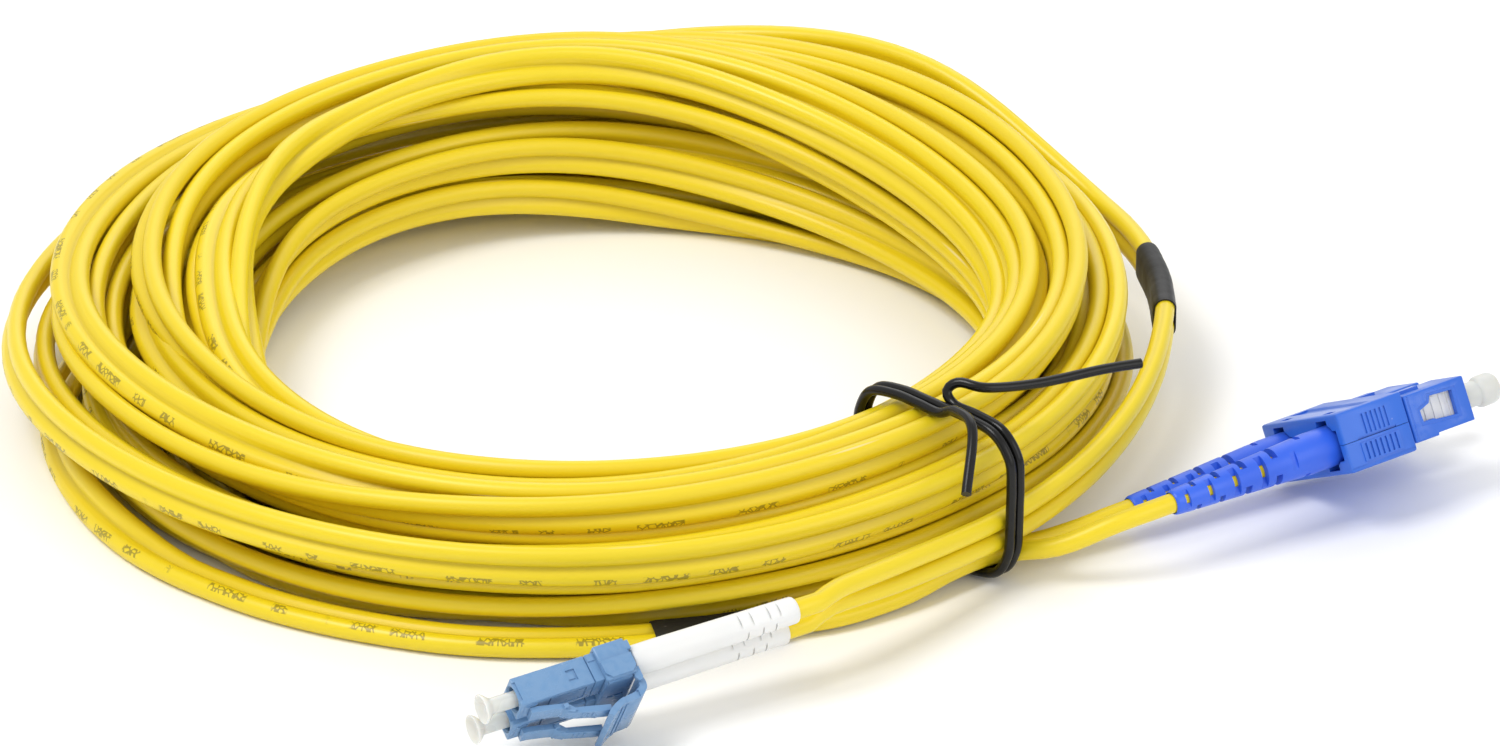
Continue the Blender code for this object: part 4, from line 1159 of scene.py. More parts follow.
@dataclass
class SplitSleeve:
    """The shrunk sleeve over the point where the duplex cord parts."""

    shop: FinishShop
    cord: DuplexCord = field(default_factory=DuplexCord)
    wall_m: float = 0.28 * MM
    gap_m: float = 0.08 * MM
    rings: int = 40
    corners: int = 32

    def outline(self, grow_m: float, upright: bool) -> np.ndarray:
        """The section: two jackets' hull, slightly drawn in between them.

        Args:
            grow_m: how far outside the jackets.
            upright: True where the two jackets stand one above the other.

        Returns:
            (across, up) points.
        """
        r, offset = self.cord.jacket_m / 2 + grow_m, self.cord.pitch_m / 2
        a = 2 * np.pi * (np.arange(self.corners) + 0.5) / self.corners
        wide = np.sign(np.cos(a)) * offset + r * np.cos(a)
        tall = r * np.sin(a) * (1 - 0.05 * np.exp(-((wide / (0.6 * offset)) ** 2)))
        return np.column_stack([-tall, wide] if upright else [wide, tall])

    def build(self, name: str, node: str, line: Sequence[Point], upright: bool) -> bpy.types.Object:
        """Makes a sleeve along its line, with rolled ends and faint shrink wrinkles. Returns the piece."""
        path = smooth_line([COIL_CENTRE + Vector(p) * MM for p in line], 0.0004)
        path = path[np.linspace(0, len(path) - 1, self.rings).astype(int)]
        run = np.gradient(path, axis=0)
        run /= np.linalg.norm(run, axis=1)[:, None]
        across = np.cross(run, (0.0, 0.0, 1.0))
        across /= np.linalg.norm(across, axis=1)[:, None]
        up = np.cross(across, run)
        along = np.concatenate([[0.0], np.cumsum(np.linalg.norm(np.diff(path, axis=0), axis=1))])
        verts, marks = [], []
        order = [(k, self.wall_m + self.gap_m) for k in range(self.rings)]
        order += [(k, self.gap_m) for k in range(self.rings - 1, -1, -1)]
        for k, grow in order:
            end = min(along[k], along[-1] - along[k])
            roll = -0.25 * self.wall_m * math.exp(-end / (0.5 * MM)) if grow > self.gap_m else 0.0
            ripple = 0.02 * MM * math.sin(along[k] / MM * 2.1) * math.sin(along[k] / MM * 0.7)
            section = self.outline(grow + roll + (ripple if grow > self.gap_m else 0.0), upright)
            verts.append(path[k] + section[:, :1] * across[k] + section[:, 1:] * up[k])
            marks.append(np.column_stack([section, np.full(len(section), along[k])]))
        count = self.corners
        faces = []
        for ring in range(len(order)):
            following = (ring + 1) % len(order)
            for k in range(count):
                j = (k + 1) % count
                faces.append((ring * count + k, ring * count + j, following * count + j,
                              following * count + k))
        piece = Workpiece(name, np.vstack(verts) / MM, faces)
        marks = np.vstack(marks)
        mesh = piece.obj.data
        mesh.attributes.new("across", "FLOAT_VECTOR", "POINT").data.foreach_set(
            "vector", np.column_stack([marks[:, :2], np.zeros(len(marks))]).ravel())
        mesh.attributes.new("along", "FLOAT", "POINT").data.foreach_set("value", marks[:, 2])
        return self.shop.install(piece.finished(Matrix.Identity(4)), Slot.SLEEVE, "root", node)


@dataclass
class TwistTie:
    """The black coated wire: twice round the bundle, twisted once on top, with two free ends.

    Angles are in degrees in the plane across the bundle, and lengths in millimetres.
    """

    lines: CordLine
    shop: FinishShop
    angle: float = -43.5
    centre_radius: float = 74.0
    half: tuple[float, float] = (14.9, 12.3)
    lift: float = 0.2
    wire: float = 1.55
    pitch: float = 1.75
    squareness: float = 4.6
    start: float = 84.0
    turns: int = 2
    per_turn: int = 22

    def around(self, degrees: float, shift: float, grow: float = 0.0) -> Vector:
        """A point of the wire round the bundle, in metres in the row frame.

        Args:
            degrees: where round the bundle, 0 on its outside and 90 on top.
            shift: how far along the bundle.
            grow: how far outside the close-fitting loop.

        Returns:
            The point.
        """
        a = math.radians(self.angle)
        out, along = Vector((math.cos(a), math.sin(a), 0)), Vector((-math.sin(a), math.cos(a), 0))
        centre = out * self.centre_radius + Vector((0, 0, self.lift + self.wire / 2 + self.half[1]))
        c, s = math.cos(math.radians(degrees)), math.sin(math.radians(degrees))
        size = (abs(c) ** self.squareness + abs(s) ** self.squareness) ** (-1 / self.squareness)
        place = centre + out * (c * size * (self.half[0] + grow)) + Vector((0, 0,
                                                                            s * size * (self.half[1] + grow)))
        return COIL_CENTRE + (place + along * shift) * MM

    def route(self) -> list[Vector]:
        """The whole wire, end to end."""
        last_turn = self.turns * self.per_turn
        loop = [self.around(self.start - 360 * k / self.per_turn, -self.pitch * k / self.per_turn)
                for k in range(last_turn + 1)]
        s = self.start
        first = [self.around(s - 36, 27, 3.0), self.around(s - 30, 21, 2.4), self.around(s - 20, 11, 1.9),
                 self.around(s - 9, 3.6, 2.6), self.around(s + 3, 1.6, 2.9), self.around(s + 7, 0.3, 1.5)]
        last = [self.around(s - 12, -self.pitch * self.turns - 0.6, 1.9), self.around(s - 28, -7.0, 2.5),
                self.around(s - 54, -14.0, 2.0)]
        return first + loop + last

    def build(self) -> bpy.types.Object:
        """Makes the tie. Returns the piece."""
        line = smooth_line(self.route(), 0.7 * MM)
        r, sides = self.wire / 2 * MM, 14
        section = [(r * math.cos(2 * math.pi * k / sides),
                    r * math.sin(2 * math.pi * k / sides)) for k in range(sides)]
        wire = self.lines.sweep("twist_tie_wire", line, section)
        return self.shop.install(wire, Slot.TIE, "root", "twist_tie")


# ---------------------------------------------------------------------------------------------
# Where the connectors are
# ---------------------------------------------------------------------------------------------


@dataclass(frozen=True)
class PlugFrame:
    """A connector's frame, and the line of one of its plugs in it."""

    place: Matrix
    y: float = 0.0

    def at_plug(self) -> Matrix:
        """The plug's own frame, about its ferrule."""
        return self.place @ Matrix.Translation((0.0, self.y * MM, 0.0))


def joint_named(frame: dict, name: str) -> dict:
    """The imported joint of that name."""
    return next(j for j in frame["joints"] if j["name"] == name)


def connector_frame(frame: dict, tag: str, ferrule_middle: float) -> tuple[Matrix, float]:
    """Works out a connector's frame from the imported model.

    Args:
        tag: "lc" or "sc".
        ferrule_middle: the ferrules' middle along X, in millimetres.

    Returns:
        The frame's matrix, and half the distance between the plugs in millimetres.
    """
    ends = [sum(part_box(f"{tag}_{side}_ferrule"), Vector()) / 2 for side in "ab"]
    x = -Vector(joint_named(frame, f"{tag}_a_ferrule_slide")["axis"]).normalized()
    span = ends[1] - ends[0]
    y = (span - x * span.dot(x)).normalized()
    z = x.cross(y)
    origin = (ends[0] + ends[1]) / 2 - x * ferrule_middle * MM
    matrix = Matrix((x, y, z)).transposed().to_4x4()
    matrix.translation = origin
    return matrix, span.length / MM / 2


# ---------------------------------------------------------------------------------------------
# Connector pieces
# ---------------------------------------------------------------------------------------------


def ribbon(name: str, stations: Sequence[tuple[float, float, float, float]], finer: int = 5) -> Workpiece:
    """A bent bar that follows a line in the XZ plane.

    Args:
        name: the piece's name.
        stations: (x, z, thickness, width) along the bar's middle.
        finer: how many steps there are between stations.

    Returns:
        The closed bar, centred on Y = 0.
    """
    pts = np.asarray(stations, float)
    ends = np.vstack([2 * pts[0] - pts[1], pts, 2 * pts[-1] - pts[-2]])
    fine = []
    for p0, p1, p2, p3 in zip(ends, ends[1:], ends[2:], ends[3:]):
        t = np.linspace(0, 1, finer, endpoint=False)[:, None]
        fine.append(0.5 * (2 * p1 + (p2 - p0) * t + (2 * p0 - 5 * p1 + 4 * p2 - p3) * t**2
                           + (3 * p1 - p0 - 3 * p2 + p3) * t**3))
    fine = np.vstack([*fine, pts[-1:]])
    run = np.gradient(fine[:, :2], axis=0)
    run /= np.linalg.norm(run, axis=1)[:, None]
    side = np.column_stack([-run[:, 1], run[:, 0]])
    verts, faces = [], []
    for (x, z, thick, width), (nx, nz) in zip(fine, side):
        verts += [(x + s * nx * thick / 2, w * width / 2, z + s * nz * thick / 2)
                  for s, w in ((1, -1), (1, 1), (-1, 1), (-1, -1))]
    for k in range(len(fine) - 1):
        faces += [(4 * k + c, 4 * k + (c + 1) % 4, 4 * k + 4 + (c + 1) % 4,
                   4 * k + 4 + c) for c in range(4)]
    last = 4 * (len(fine) - 1)
    faces += [(3, 2, 1, 0), (last, last + 1, last + 2, last + 3)]
    return Workpiece(name, verts, faces)


def both_sides(maker: Callable[[int], Workpiece]) -> list[Workpiece]:
    """The same detail on the -Y side and on the +Y side."""
    return [maker(-1), maker(1)]


def slab(name: str, x: tuple[float, float], y: tuple[float, float], z: tuple[float, float],
         side: int = 1) -> Workpiece:
    """A box from ranges, mirrored across Y where side is -1."""
    low, high = sorted((y[0] * side, y[1] * side))
    return block(name, (x[0], low, z[0]), (x[1], high, z[1]))


@dataclass(frozen=True)
class BootSizes:
    """A strain relief boot: a tapered sleeve with staggered slits near its rear end.

    faces holds, for each slit, its middle, its width, how deep it reaches and whether it is on the
    top and bottom instead of on the sides.
    """

    front: float
    rear: float
    front_d: float
    rear_d: float
    straight: float
    cavity_d: float
    cavity_end: float
    bore: float
    slits: tuple[tuple[float, float, float, bool], ...]

    def radius_at(self, x: float) -> float:
        """The outer radius at x."""
        share = min(max((self.front - self.straight - x) / (self.front - self.straight - self.rear), 0.0),
                    1.0)
        return (self.front_d + (self.rear_d - self.front_d) * share) / 2


@dataclass
class Boot:
    """Makes boots."""

    sizes: BootSizes

    def build(self, name: str) -> Workpiece:
        """The boot about its own axis, with rounded ends and open slits."""
        s = self.sizes
        steps = 12
        front = s.front - s.straight
        outer = [(x, s.radius_at(x)) for x in np.linspace(front, s.rear + 0.5, steps)]
        outline = rounded(s.front, s.front_d / 2, 0.25,
                          False)[::-1][:-1] + [(front, s.front_d / 2)] + outer[1:-1]
        outline += [(s.rear + 0.45, s.radius_at(s.rear) - 0.01), (s.rear + 0.2, s.radius_at(s.rear) - 0.1),
                    (s.rear, s.radius_at(s.rear) - 0.32), (s.rear, s.bore / 2 + 0.1), (s.rear + 0.15,
                                                                                       s.bore / 2),
                    (s.cavity_end, s.bore / 2), (s.cavity_end, s.cavity_d / 2), (s.front, s.cavity_d / 2)]
        piece = turned(name, outline, sides=44)
        for x, width, depth, upright in s.slits:
            reach = s.radius_at(x)
            inner = reach - depth
            half = math.sqrt(max(reach * reach - inner * inner, 0.01)) + 0.02
            for side in (-1, 1):
                low, high = sorted((side * inner, side * (reach + 1)))
                corners = (((x - width / 2, -half, low), (x + width / 2, half, high)) if upright
                           else ((x - width / 2, low, -half), (x + width / 2, high, half)))
                piece.cut(block("slit", *corners))
        return piece


LC_BOOT = BootSizes(front=-18.9, rear=-45.8, front_d=4.55, rear_d=4.05, straight=3.8, cavity_d=3.7,
                    cavity_end=-23.6, bore=3.2,
                    slits=tuple((x, 0.30, 0.42, up) for x, up in
                                ((-36.2, False), (-38.1, False), (-40.9, False), (-42.6, False),
                                 (-37.1, True), (-39.6, True), (-41.7, True))))
SC_BOOT = BootSizes(front=1.0, rear=-28.5, front_d=6.3, rear_d=3.9, straight=5.0, cavity_d=5.0,
                    cavity_end=-8.8, bore=3.2,
                    slits=tuple((x, w, d, False) for x, w, d in
                                ((-26.6, 0.8, 0.6), (-22.5, 0.95, 0.85), (-18.05, 1.1, 1.1),
                                 (-13.2, 1.2, 1.4), (-7.8, 0.9, 0.36)))
                    + tuple((x, w, d, True) for x, w, d in
                            ((-24.8, 0.8, 0.7), (-20.7, 0.95, 0.95), (-16.1, 1.1, 1.2),
                             (-10.75, 1.1, 1.5), (-5.4, 0.8, 0.4))))


@dataclass(frozen=True)
class CapSizes:
    """A dust cap: a thin barrel over the ferrule and a round grip."""

    back: float
    barrel_d: float
    bore_d: float
    bore_end: float
    grip: tuple[tuple[float, float], ...]

    def build(self, name: str) -> Workpiece:
        """The cap about its ferrule's axis, open at the back."""
        r = self.barrel_d / 2
        outline = [(self.bore_end, 0.0), (self.bore_end, self.bore_d / 2),
                   (self.back + 0.12, self.bore_d / 2),
                   (self.back, self.bore_d / 2 + 0.1), (self.back, r - 0.1), (self.back + 0.12, r)]
        return turned(name, outline + list(self.grip), sides=36)


LC_CAP = CapSizes(back=-1.8, barrel_d=2.4, bore_d=1.45, bore_end=2.4, grip=(
    (3.3, 1.2), (3.6, 1.25), (3.9, 1.5), (4.3, 1.88), (4.65, 2.12), (4.85, 2.2), (4.98, 2.2), (5.02, 2.12),
    (4.8, 1.85), (4.45, 1.4), (4.25, 0.9), (4.2, 0.0)))
SC_CAP = CapSizes(back=16.3, barrel_d=3.9, bore_d=2.7, bore_end=25.2, grip=(
    (26.9, 1.95), (27.25, 2.0), (27.45, 2.2), (27.8, 2.4), (28.3, 2.45), (29.8, 2.42), (30.4, 2.3), (30.8,
                                                                                                     2.0),
    (31.0, 1.6), (30.9, 1.0), (30.85, 0.0)))


@dataclass
class LcConnector:
    """The duplex LC connector, in millimetres in its own frame."""

    shop: FinishShop
    place: Matrix
    half_pitch: float
    side: float = 4.52
    length: float = 11.6
    clip_x: tuple[float, float] = (-18.3, -13.3)
    rows: Rows = field(default_factory=Rows)

    def housing(self, name: str) -> Workpiece:
        """The front shell: a square tube with a round shroud, a side pocket and a top panel."""
        h = self.side / 2
        shell = block(name, (-self.length - 0.16, -h, -h), (0.0, h, h)).soften(0.22, 3)
        shell.cut(drill(-4.0, 1.0, 3.5), drill(-6.0, -3.0, 1.45), drill(-self.length - 1, -5.0, 3.1))
        shell.cut(turned("lead_in", [(-0.35, 0.0), (-0.35, 1.74), (0.2, 2.15), (0.2, 0.0)]))
        shell.cut(*both_sides(lambda s: slab("pocket", (-9.6, -8.2), (h - 0.25, h + 1), (-0.8, 1.0), s)))
        shell.join(*both_sides(lambda s: slab("pocket_island", (-9.25, -8.0), (h - 0.4, h - 0.12),
                                              (-0.45, 0.65), s)))
        shell.cut(*both_sides(lambda s: slab("front_notch", (-0.5, 0.5), (h - 0.22, h + 1), (-1.5, 1.5),
                                             s)))
        panel = slab("panel", (-10.6, -4.6), (-1.5, 1.5), (h - 0.16, h + 1))
        shell.cut(panel.cut(slab("panel_island", (-10.3, -4.9), (-1.2, 1.2), (h - 1, h - 0.04))))
        shell.cut(slab("under_groove", (-10.4, -3.0), (-0.5, 0.5), (-h - 1, -h + 0.18)))
        foot = prism("latch_foot", [(-0.75, 2.0), (-0.75, 2.3), (-1.1, 2.5), (-2.3, 2.5), (-2.9, 2.2),
                                    (-2.9, 2.0)],
                     -1.3, 1.3)
        return shell.join(foot).soften(0.05, 1, 40)

    def rear_body(self, name: str) -> Workpiece:
        """The rear body: a square collar, the spigot into the shell and the crimp stem."""
        h = self.side / 2
        body = block(name, (-18.6, -h, -h), (-11.84, h, h)).soften(0.15, 2)
        body.join(drill(-12.5, -11.3, 2.9), drill(-23.0, -18.0, 2.6))
        body.join(*both_sides(lambda s: slab("side_tab", (-13.0, -11.95), (h - 0.3, h + 0.16), (-2.0, -1.0),
                                             s)))
        body.cut(self.rows.set_out("stem_rings", 5, (-19.6, 0.0, 1.6), (-0.7, 0.0, 0.0), (0.25, 3.0, 0.8)))
        return body.cut(drill(-24.0, -10.0, 1.1)).soften(0.04, 1, 40)

    def clip(self) -> Workpiece:
        """The clip round both rear bodies, with saddles, hinge ears and rear lugs."""
        x0, x1 = self.clip_x
        y, z = self.half_pitch + 2.86, 2.86
        clip = block("lc_duplex_clip", (x0, -y, -z), (x1, y, z)).soften(0.32, 3)
        saddle = [(x0 + 0.05, -0.2), (x1 - 0.2, -0.2), (x1 - 0.05, 0.0), (x1 - 0.05, 1.8), (x1 - 0.9, 2.7),
                  (x0 + 0.9, 2.7),
                  (x0 + 0.05, 1.9)]
        clip.join(*[prism("saddle", saddle, *sorted((s * (y - 0.3), s * (y + 0.42)))) for s in (-1, 1)])
        clip.join(*both_sides(lambda s: slab("top_rail", (x0 + 0.9, x1 - 0.3), (y - 1.2, y - 0.6),
                                             (z - 0.3, z + 0.25), s)))
        ear = [(x0 - 0.35, 2.0), (x0 + 0.75, 2.0), (x0 + 0.75, 3.6), (x0 + 0.45, 4.1), (x0 - 0.1, 4.1),
               (x0 - 0.35, 3.7)]
        clip.join(*[prism("hinge_ear", ear, *sorted((s * 5.12, s * 5.75))) for s in (-1, 1)])
        clip.join(*both_sides(lambda s: slab("rear_lug", (x0 - 0.5, x0 + 0.3), (5.4, 5.95), (-2.3, -0.9),
                                             s)))
        clip.cut(slab("waist", (x0 + 1.2, x1 - 1.2), (-0.35, 0.35), (z - 0.25, z + 1)))
        for s in (-1, 1):
            clip.cut(block("socket", (x0 - 1, s * self.half_pitch - 2.36, -2.36),
                           (x1 + 1, s * self.half_pitch + 2.36, 2.36)))
        return clip.soften(0.05, 1, 40)

    def latch(self, name: str) -> Workpiece:
        """A latch: a broad front paddle, two hooks and a thin bar with raised marks."""
        arm = ribbon(name, [(-1.35, 3.0, 0.85, 2.6), (-2.6, 3.12, 0.85, 2.6), (-4.2, 3.45, 0.8, 2.6),
                            (-5.6, 3.75, 0.8, 2.6),
                            (-6.35, 3.95, 0.85, 2.5)])
        step = [(-7.1, 3.95), (-6.0, 3.45), (-5.9, 4.2), (-6.3, 4.65), (-7.3, 5.15), (-7.9, 4.9)]
        arm.join(prism("hook_step", step, -1.25, 1.25))
        bar = ribbon("bar", [(-6.7, 4.4, 0.85, 1.9), (-7.3, 4.75, 0.85, 1.9), (-9.6, 5.35, 0.95, 1.9),
                             (-11.6, 5.85, 0.95, 2.0),
                             (-12.8, 6.1, 0.8, 2.2)])
        arm.join(bar, block("hook", (-6.75, -1.75, 3.75), (-6.05, 1.75, 4.35)))
        marks = self.rows.set_out("marks", 3, (-8.6, 0.0, 5.55), (-0.75, 0.0, 0.2), (0.24, 1.1, 0.3))
        return arm.join(marks).soften(0.1, 2, 40)

    def trigger(self) -> Workpiece:
        """The trigger: a curved blade from the clip's rear over both latch tails, with grip ribs."""
        blade = ribbon("lc_trigger_blade", [
            (-18.2, 3.25, 0.9, 10.1), (-18.45, 4.1, 1.0, 10.1), (-18.15, 5.1, 1.1, 10.1), (-17.0, 5.75, 1.1,
                                                                                           10.2),
            (-15.3, 5.95, 0.95, 10.2), (-13.8, 6.4, 0.95, 10.2), (-12.5, 7.15, 1.0, 10.2), (-11.95, 7.6,
                                                                                            0.8, 10.1)])
        blade.join(self.rows.set_out("grip_ribs", 3, (-15.2, 0.0, 6.48), (0.8, 0.0, 0.24),
                                     (0.3, 8.4, 0.34)))
        blade.cut(*both_sides(lambda s: slab("relief", (-17.3, -14.8), (4.75, 6.0), (5.2, 7.0), s)))
        return blade.soften(0.12, 2, 40)

    def build(self) -> dict[str, list[bpy.types.Object]]:
        """Makes every piece of the connector. Returns the pieces on each leg."""
        made: dict[str, list[bpy.types.Object]] = {}
        for tag, y in (("lc_a", -self.half_pitch), ("lc_b", self.half_pitch)):
            at = PlugFrame(self.place, y).at_plug()
            shell = self.shop.install(self.housing(tag + "_shell").finished(at), Slot.LC_BLUE, "root",
                                      tag + "_housing")
            body = self.shop.install(self.rear_body(tag + "_collar").finished(at), Slot.LC_BLUE, "root",
                                     tag + "_rear_body")
            boot = self.shop.install(Boot(LC_BOOT).build(tag + "_slit_boot").finished(at), Slot.WHITE,
                                     "root", tag + "_boot")
            self.shop.install(self.latch(tag + "_latch_spring").finished(at), Slot.LC_BLUE,
                              tag + "_latch_arm", tag + "_latch")
            self.shop.install(LC_CAP.build(tag + "_cap").finished(at), Slot.CAP, tag + "_cap",
                              tag + "_dust_cap")
            made[tag] = [boot, body, shell]
        self.shop.install(self.clip().finished(self.place), Slot.LC_BLUE, "root", "lc_clip")
        self.shop.install(self.trigger().finished(self.place), Slot.LC_BLUE, "lc_trigger_lever",
                          "lc_trigger")
        return made


@dataclass
class ScConnector:
    """The duplex SC connector, in millimetres in its own frame."""

    shop: FinishShop
    place: Matrix
    half_pitch: float
    nose: tuple[float, float] = (9.0, 7.4)
    waist: tuple[float, float] = (8.0, 6.6)
    housing_x: tuple[float, float] = (3.2, 23.4)
    clip: tuple[float, float, float] = (12.0, 22.4, 9.3)
    rows: Rows = field(default_factory=Rows)

    def housing(self, name: str) -> Workpiece:
        """The sliding shell: a square nose with side windows, a key and a stepped floor."""
        y, z = self.nose[0] / 2, self.nose[1] / 2
        x0, x1 = self.housing_x
        shell = block(name, (12.3, -y, -z), (x1, y, z)).soften(0.3, 3)
        shell.join(block("waist", (x0, -self.waist[0] / 2, -self.waist[1] / 2),
                         (13.0, self.waist[0] / 2, self.waist[1] / 2)))
        shell.join(block("key", (13.5, -0.9, z - 1), (17.5, 0.9, z + 0.5)))
        shell.cut(slab("floor_step", (16.6, 25.0), (-6, 6), (-z - 1, -z + 0.42)))
        shell.cut(block("bore", (x0 - 2, -3.3, -2.85), (x1 + 1, 3.3, 2.85)))
        window = [(16.9, 2.44), (20.9, 2.2), (20.8, -1.6), (17.0, -1.25), (16.6, -1.0), (14.7, -1.0),
                  (14.6, 0.8),
                  (15.5, 1.1), (16.5, 1.45)]
        shell.cut(prism("window", window, -6, 6))
        frame = [(16.4, 2.9), (21.5, 2.65), (21.4, -2.1), (14.1, -1.5), (14.1, 1.2), (16.2, 1.9)]
        shell.cut(*[prism("window_bevel", frame, *sorted((s * (y - 0.12), s * (y + 1)))) for s in (-1, 1)])
        shell.cut(*both_sides(lambda s: slab("nose_groove", (12.8, 13.05), (y - 0.12, y + 1), (-3.4, 3.4),
                                             s)))
        return shell.soften(0.06, 1, 40)

    def frame(self, name: str) -> Workpiece:
        """The white inner frame, with the stepped ribs that show in the window."""
        frame = block(name, (3.5, -3.2, -2.75), (23.0, 3.2, 2.75)).soften(0.25, 2)
        frame.cut(*both_sides(lambda s: slab("side_flat", (15.4, 20.4), (2.95, 4), (-2.0, 2.2), s)))
        for side in (-1, 1):
            ribs = self.rows.set_out("frame_ribs", 3, (16.3, side * 2.98, 0.2), (1.55, 0.0, 0.0),
                                     (0.6, 0.34, 3.9))
            frame.join(ribs)
        frame.cut(drill(13.2, 24.0, 4.6), drill(11.0, 14.0, 2.7), drill(2.0, 12.0, 4.7))
        return frame.soften(0.05, 1, 40)

    def clip_half(self, name: str, upper: bool) -> Workpiece:
        """Half of the clip, with grip ribs on its sides and a keyhole round each boot."""
        length, width, height = self.clip
        y, z = width / 2, height / 2
        half = block(name, (0.0, -y, -z), (length, y, z)).soften(0.38, 2)
        other = (-z - 1, -0.12) if upper else (-0.2, z + 1)
        half.cut(block("other_half", (-1.0, -y - 1, other[0]), (length + 1, y + 1, other[1])))
        for side in (-1, 1):
            face = side * y
            if upper:
                half.cut(self.rows.set_out("upper_ribs", 6, (4.3, face, 1.9), (0.82, 0.0, 0.0),
                                           (0.34, 0.44, 3.1)))
                half.cut(slab("seam_ledge", (2.6, 9.6), (y - 0.2, y + 1), (-1, 0.14), side))
            else:
                half.join(slab("grip_panel", (2.75, 9.7), (y - 0.5, y + 0.16), (-3.6, -0.72), side))
                half.cut(self.rows.set_out("lower_ribs", 7, (3.5, face + side * 0.16, -2.15),
                                           (0.9, 0.0, 0.0),
                                           (0.36, 0.5, 2.5)))
                half.cut(slab("ledge", (-1, 13), (y - 0.12, y + 1), (-5, -3.95), side))
        roof = z if upper else -z
        sign = 1 if upper else -1
        valley = [(3.4, roof + sign), (4.5, roof - sign * 0.32), (7.4, roof - sign * 0.32),
                  (8.6, roof + sign)]
        half.cut(prism("valley", valley, -9.4, 9.4))
        half.cut(*[block("roof_slot", (1.2, s * 6.35 - 1.1, min(roof - sign * 0.3, roof + sign)),
                         (2.6, s * 6.35 + 1.1, max(roof - sign * 0.3, roof + sign))) for s in (-1, 1)])
        for s in (-1, 1):
            middle = s * self.half_pitch
            half.cut(block("nest", (2.9, middle - 4.1, -3.4), (length + 1, middle + 4.1, 3.4)))
            half.cut(drill(-1.0, 4.0, 6.9, middle))
            half.cut(block("mouth", (-1.0, middle - 3.55, -2.6), (1.3, middle + 3.55, 2.2)))
            half.cut(*[block("key_notch", (-1.0, middle - 1.5, min(0, sign * 3.9)),
                             (2.2, middle + 1.5, max(0, sign * 3.9)))])
        return half.soften(0.07, 1, 40)

    def build(self) -> dict[str, list[bpy.types.Object]]:
        """Makes every piece of the connector. Returns the pieces on each leg."""
        made: dict[str, list[bpy.types.Object]] = {}
        for tag, y in (("sc_a", -self.half_pitch), ("sc_b", self.half_pitch)):
            at = PlugFrame(self.place, y).at_plug()
            shell = self.shop.install(self.housing(tag + "_shell").finished(at), Slot.SC_BLUE, "sc_grip",
                                      tag + "_housing")
            frame = self.shop.install(self.frame(tag + "_frame").finished(at), Slot.WHITE, "root",
                                      tag + "_plug_frame")
            boot = self.shop.install(Boot(SC_BOOT).build(tag + "_slit_boot").finished(at), Slot.BOOT_BLUE,
                                     "root",
                                     tag + "_boot")
            self.shop.install(SC_CAP.build(tag + "_cap").finished(at), Slot.CAP, tag + "_cap",
                              tag + "_dust_cap")
            made[tag] = [boot, frame, shell]
        for node, upper in (("sc_clip_lower", False), ("sc_clip_upper", True)):
            self.shop.install(self.clip_half(node + "_half", upper).finished(self.place), Slot.SC_BLUE,
                              "sc_grip", node)
        return made


# ---------------------------------------------------------------------------------------------
# Studio
# ---------------------------------------------------------------------------------------------


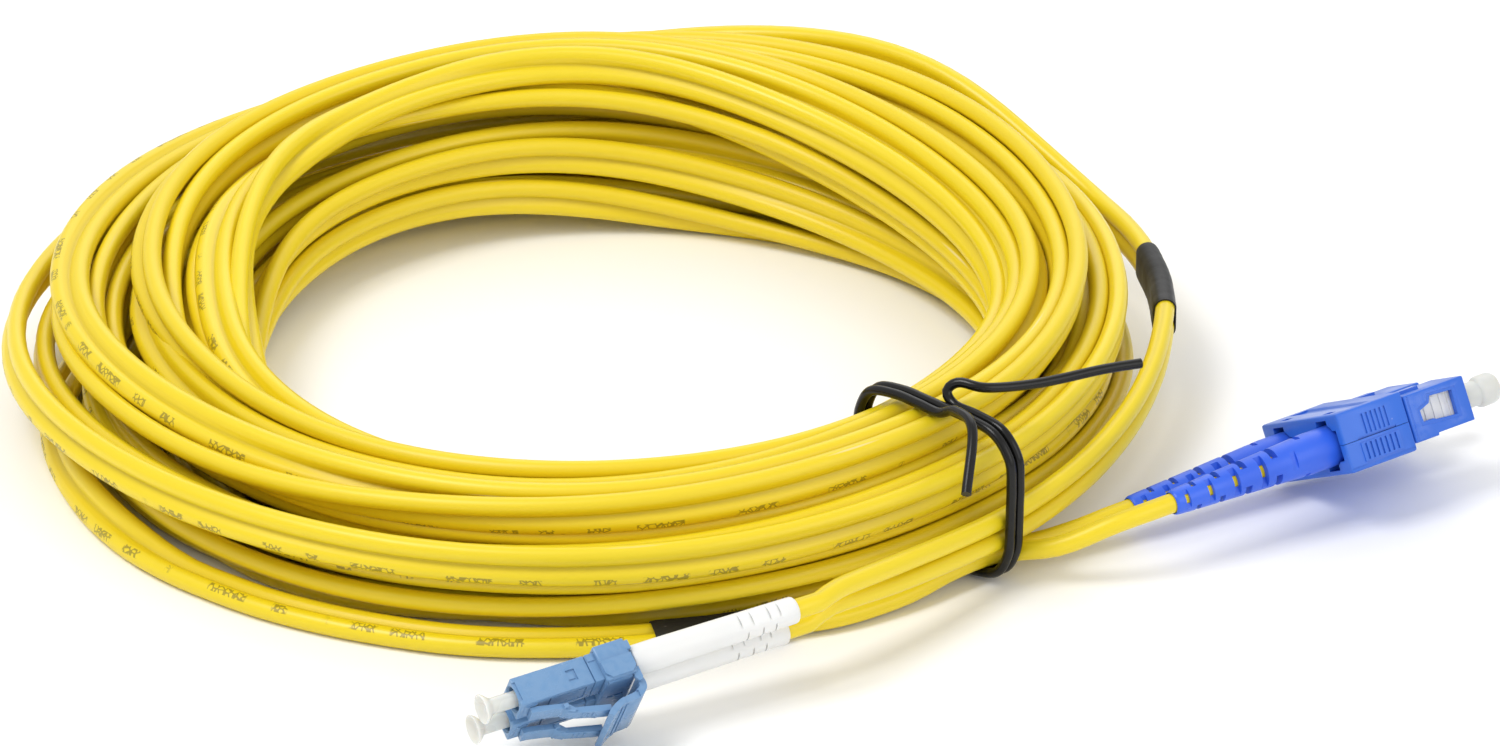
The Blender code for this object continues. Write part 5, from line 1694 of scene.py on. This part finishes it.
@dataclass(frozen=True)
class Studio:
    """A pale floor, a white surround, soft lamps and the camera."""

    elevation: float = 27.0
    distance_m: float = 1.3
    pixels_per_mm: float = 6.45
    coil_in_image: tuple[float, float] = (0.3947, 0.5335)
    sensor_mm: float = 36.0

    def camera(self) -> None:
        """Sets the camera where the coil's centre falls in the right place in the image."""
        e = math.radians(self.elevation)
        back = Vector((0.0, -math.cos(e), math.sin(e)))
        up = Vector((0.0, math.sin(e), math.cos(e)))
        aside = (self.coil_in_image[0] - 0.5) * IMAGE_SIZE[0] / self.pixels_per_mm * MM
        above = (0.5 - self.coil_in_image[1]) * IMAGE_SIZE[1] / self.pixels_per_mm * MM
        data = bpy.data.cameras.new("camera")
        data.sensor_fit = "HORIZONTAL"
        data.sensor_width = self.sensor_mm
        focal_pixels = self.pixels_per_mm * self.distance_m / MM
        data.lens = focal_pixels * self.sensor_mm / IMAGE_SIZE[0]
        data.clip_start, data.clip_end = 0.05, 20.0
        camera = linked("camera", data)
        camera.location = COIL_CENTRE + back * self.distance_m - Vector((aside, 0, 0)) - up * above
        camera.rotation_euler = (math.pi / 2 - e, 0.0, 0.0)
        bpy.context.scene.camera = camera

    def lamp(self, name: str, place: Point, target: Point, size: float, watts: float,
             warmth: float = 0.0) -> None:
        """A square soft lamp aimed at a point.

        Args:
            name: the lamp's name.
            place: where it stands, in metres.
            target: where it points, in metres.
            size: its side, in metres.
            watts: its power.
            warmth: 0 for white, 1 for a warm white.
        """
        data = bpy.data.lights.new(name, "AREA")
        data.shape = "SQUARE"
        data.size = size
        data.energy = watts
        data.color = (1.0, 1.0 - 0.06 * warmth, 1.0 - 0.14 * warmth)
        lamp = linked(name, data)
        lamp.location = place
        lamp.rotation_euler = (Vector(target) - Vector(place)).to_track_quat("-Z", "Y").to_euler()

    def floor(self) -> None:
        """A wide pale floor."""
        mesh = bpy.data.meshes.new("floor")
        mesh.from_pydata([(-6, -6, 0), (6, -6, 0), (6, 6, 0), (-6, 6, 0)], [], [(0, 1, 2, 3)])
        floor = linked("floor", mesh)
        mat = bpy.data.materials.new("floor_paper")
        mat.use_nodes = True
        g = Graph(mat.node_tree)
        shader = mat.node_tree.nodes["Principled BSDF"]
        shader.inputs["Roughness"].default_value = 0.95
        shader.inputs["Specular IOR Level"].default_value = 0.1
        place = g.add("ShaderNodeTexCoord").outputs["Object"]
        cloud = g.add("ShaderNodeTexNoise", {"Vector": place, "Scale": 3.0}).outputs["Fac"]
        g.tree.links.new(g.blend(cloud, (0.96, 0.96, 0.96, 1), (0.95, 0.95, 0.95, 1)),
                         shader.inputs["Base Color"])
        mesh.materials.append(mat)

    def surround(self) -> None:
        """An even white surround."""
        world = bpy.data.worlds.new("surround")
        world.use_nodes = True
        sky = world.node_tree.nodes["Background"]
        sky.inputs["Color"].default_value = (1.0, 1.0, 1.0, 1.0)
        sky.inputs["Strength"].default_value = 0.74
        bpy.context.scene.world = world

    def build(self) -> None:
        """Sets the whole studio."""
        self.camera()
        self.floor()
        self.surround()
        self.lamp("key", (-0.55, -0.35, 1.1), (0.0, 0.0, 0.0), 0.5, 7.0, 0.0)
        self.lamp("fill", (0.9, -0.8, 0.7), (0.0, 0.0, 0.0), 0.9, 4.0)
        self.lamp("rear", (0.1, 1.0, 0.8), (0.0, 0.0, 0.0), 1.0, 3.2)
        view = bpy.context.scene.view_settings
        view.view_transform = "Standard"
        view.look = "None"
        view.exposure = 0.0


@dataclass
class Bundle:
    """The coiled cord with its sleeves and tie."""

    lines: CordLine
    shop: FinishShop
    coil: Coil = field(default_factory=Coil)
    lc_split: tuple[Point, ...] = ((88.5, 0.5, 13.5), (88.1, 11.0, 13.5), (86.6, 20.5, 13.5))
    sc_split: tuple[Point, ...] = ((29.4, -75.6, 2.05), (20.0, -79.0, 2.05), (10.3, -81.0, 2.05))

    def build(self) -> None:
        """Makes the sleeves, the tie and the laid cord."""
        sleeve = SplitSleeve(self.shop)
        lc_sleeve = sleeve.build("lc_shrunk_sleeve", "lc_split_sleeve", self.lc_split, True)
        sc_sleeve = sleeve.build("sc_shrunk_sleeve", "sc_split_sleeve", self.sc_split, False)
        tie = TwistTie(self.lines, self.shop).build()
        line, tilt = self.coil.lay()
        cord = self.lines.sweep("duplex_cord", line, self.coil.cord.double(), tilt, level=True)
        self.shop.install(cord, Slot.JACKET, "root", "cord_coil", "lc_duplex_tail", "sc_duplex_tail")


LC_FERRULE_MIDDLE = -2.5
SC_FERRULE_MIDDLE = 17.5


def main() -> None:
    """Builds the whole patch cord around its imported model."""
    logging.basicConfig(level=logging.INFO, format="%(name)s: %(message)s")
    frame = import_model()
    Studio().build()
    lines, shop = CordLine(), FinishShop()
    Bundle(lines, shop).build()
    lc_place, lc_half = connector_frame(frame, "lc", LC_FERRULE_MIDDLE)
    sc_place, sc_half = connector_frame(frame, "sc", SC_FERRULE_MIDDLE)
    made = LcConnector(shop, lc_place, lc_half).build()
    made.update(ScConnector(shop, sc_place, sc_half).build())
    legs = Legs(lines, shop)
    for route, y in zip(LC_LEGS, (-lc_half, lc_half)):
        legs.build(route, PlugFrame(lc_place, y), -23.2, -45.8, made[route.plug])
    for route, y in zip(SC_LEGS, (-sc_half, sc_half)):
        legs.build(route, PlugFrame(sc_place, y), -9.1, -28.5, made[route.plug])
    for subpart in frame["record"]["subparts"]:
        node = frame["nodes"][subpart["node"]]
        if not node.hide_render:
            shop.dress(node, Slot(subpart["material_slot"]))


if __name__ == "__main__":
    main()
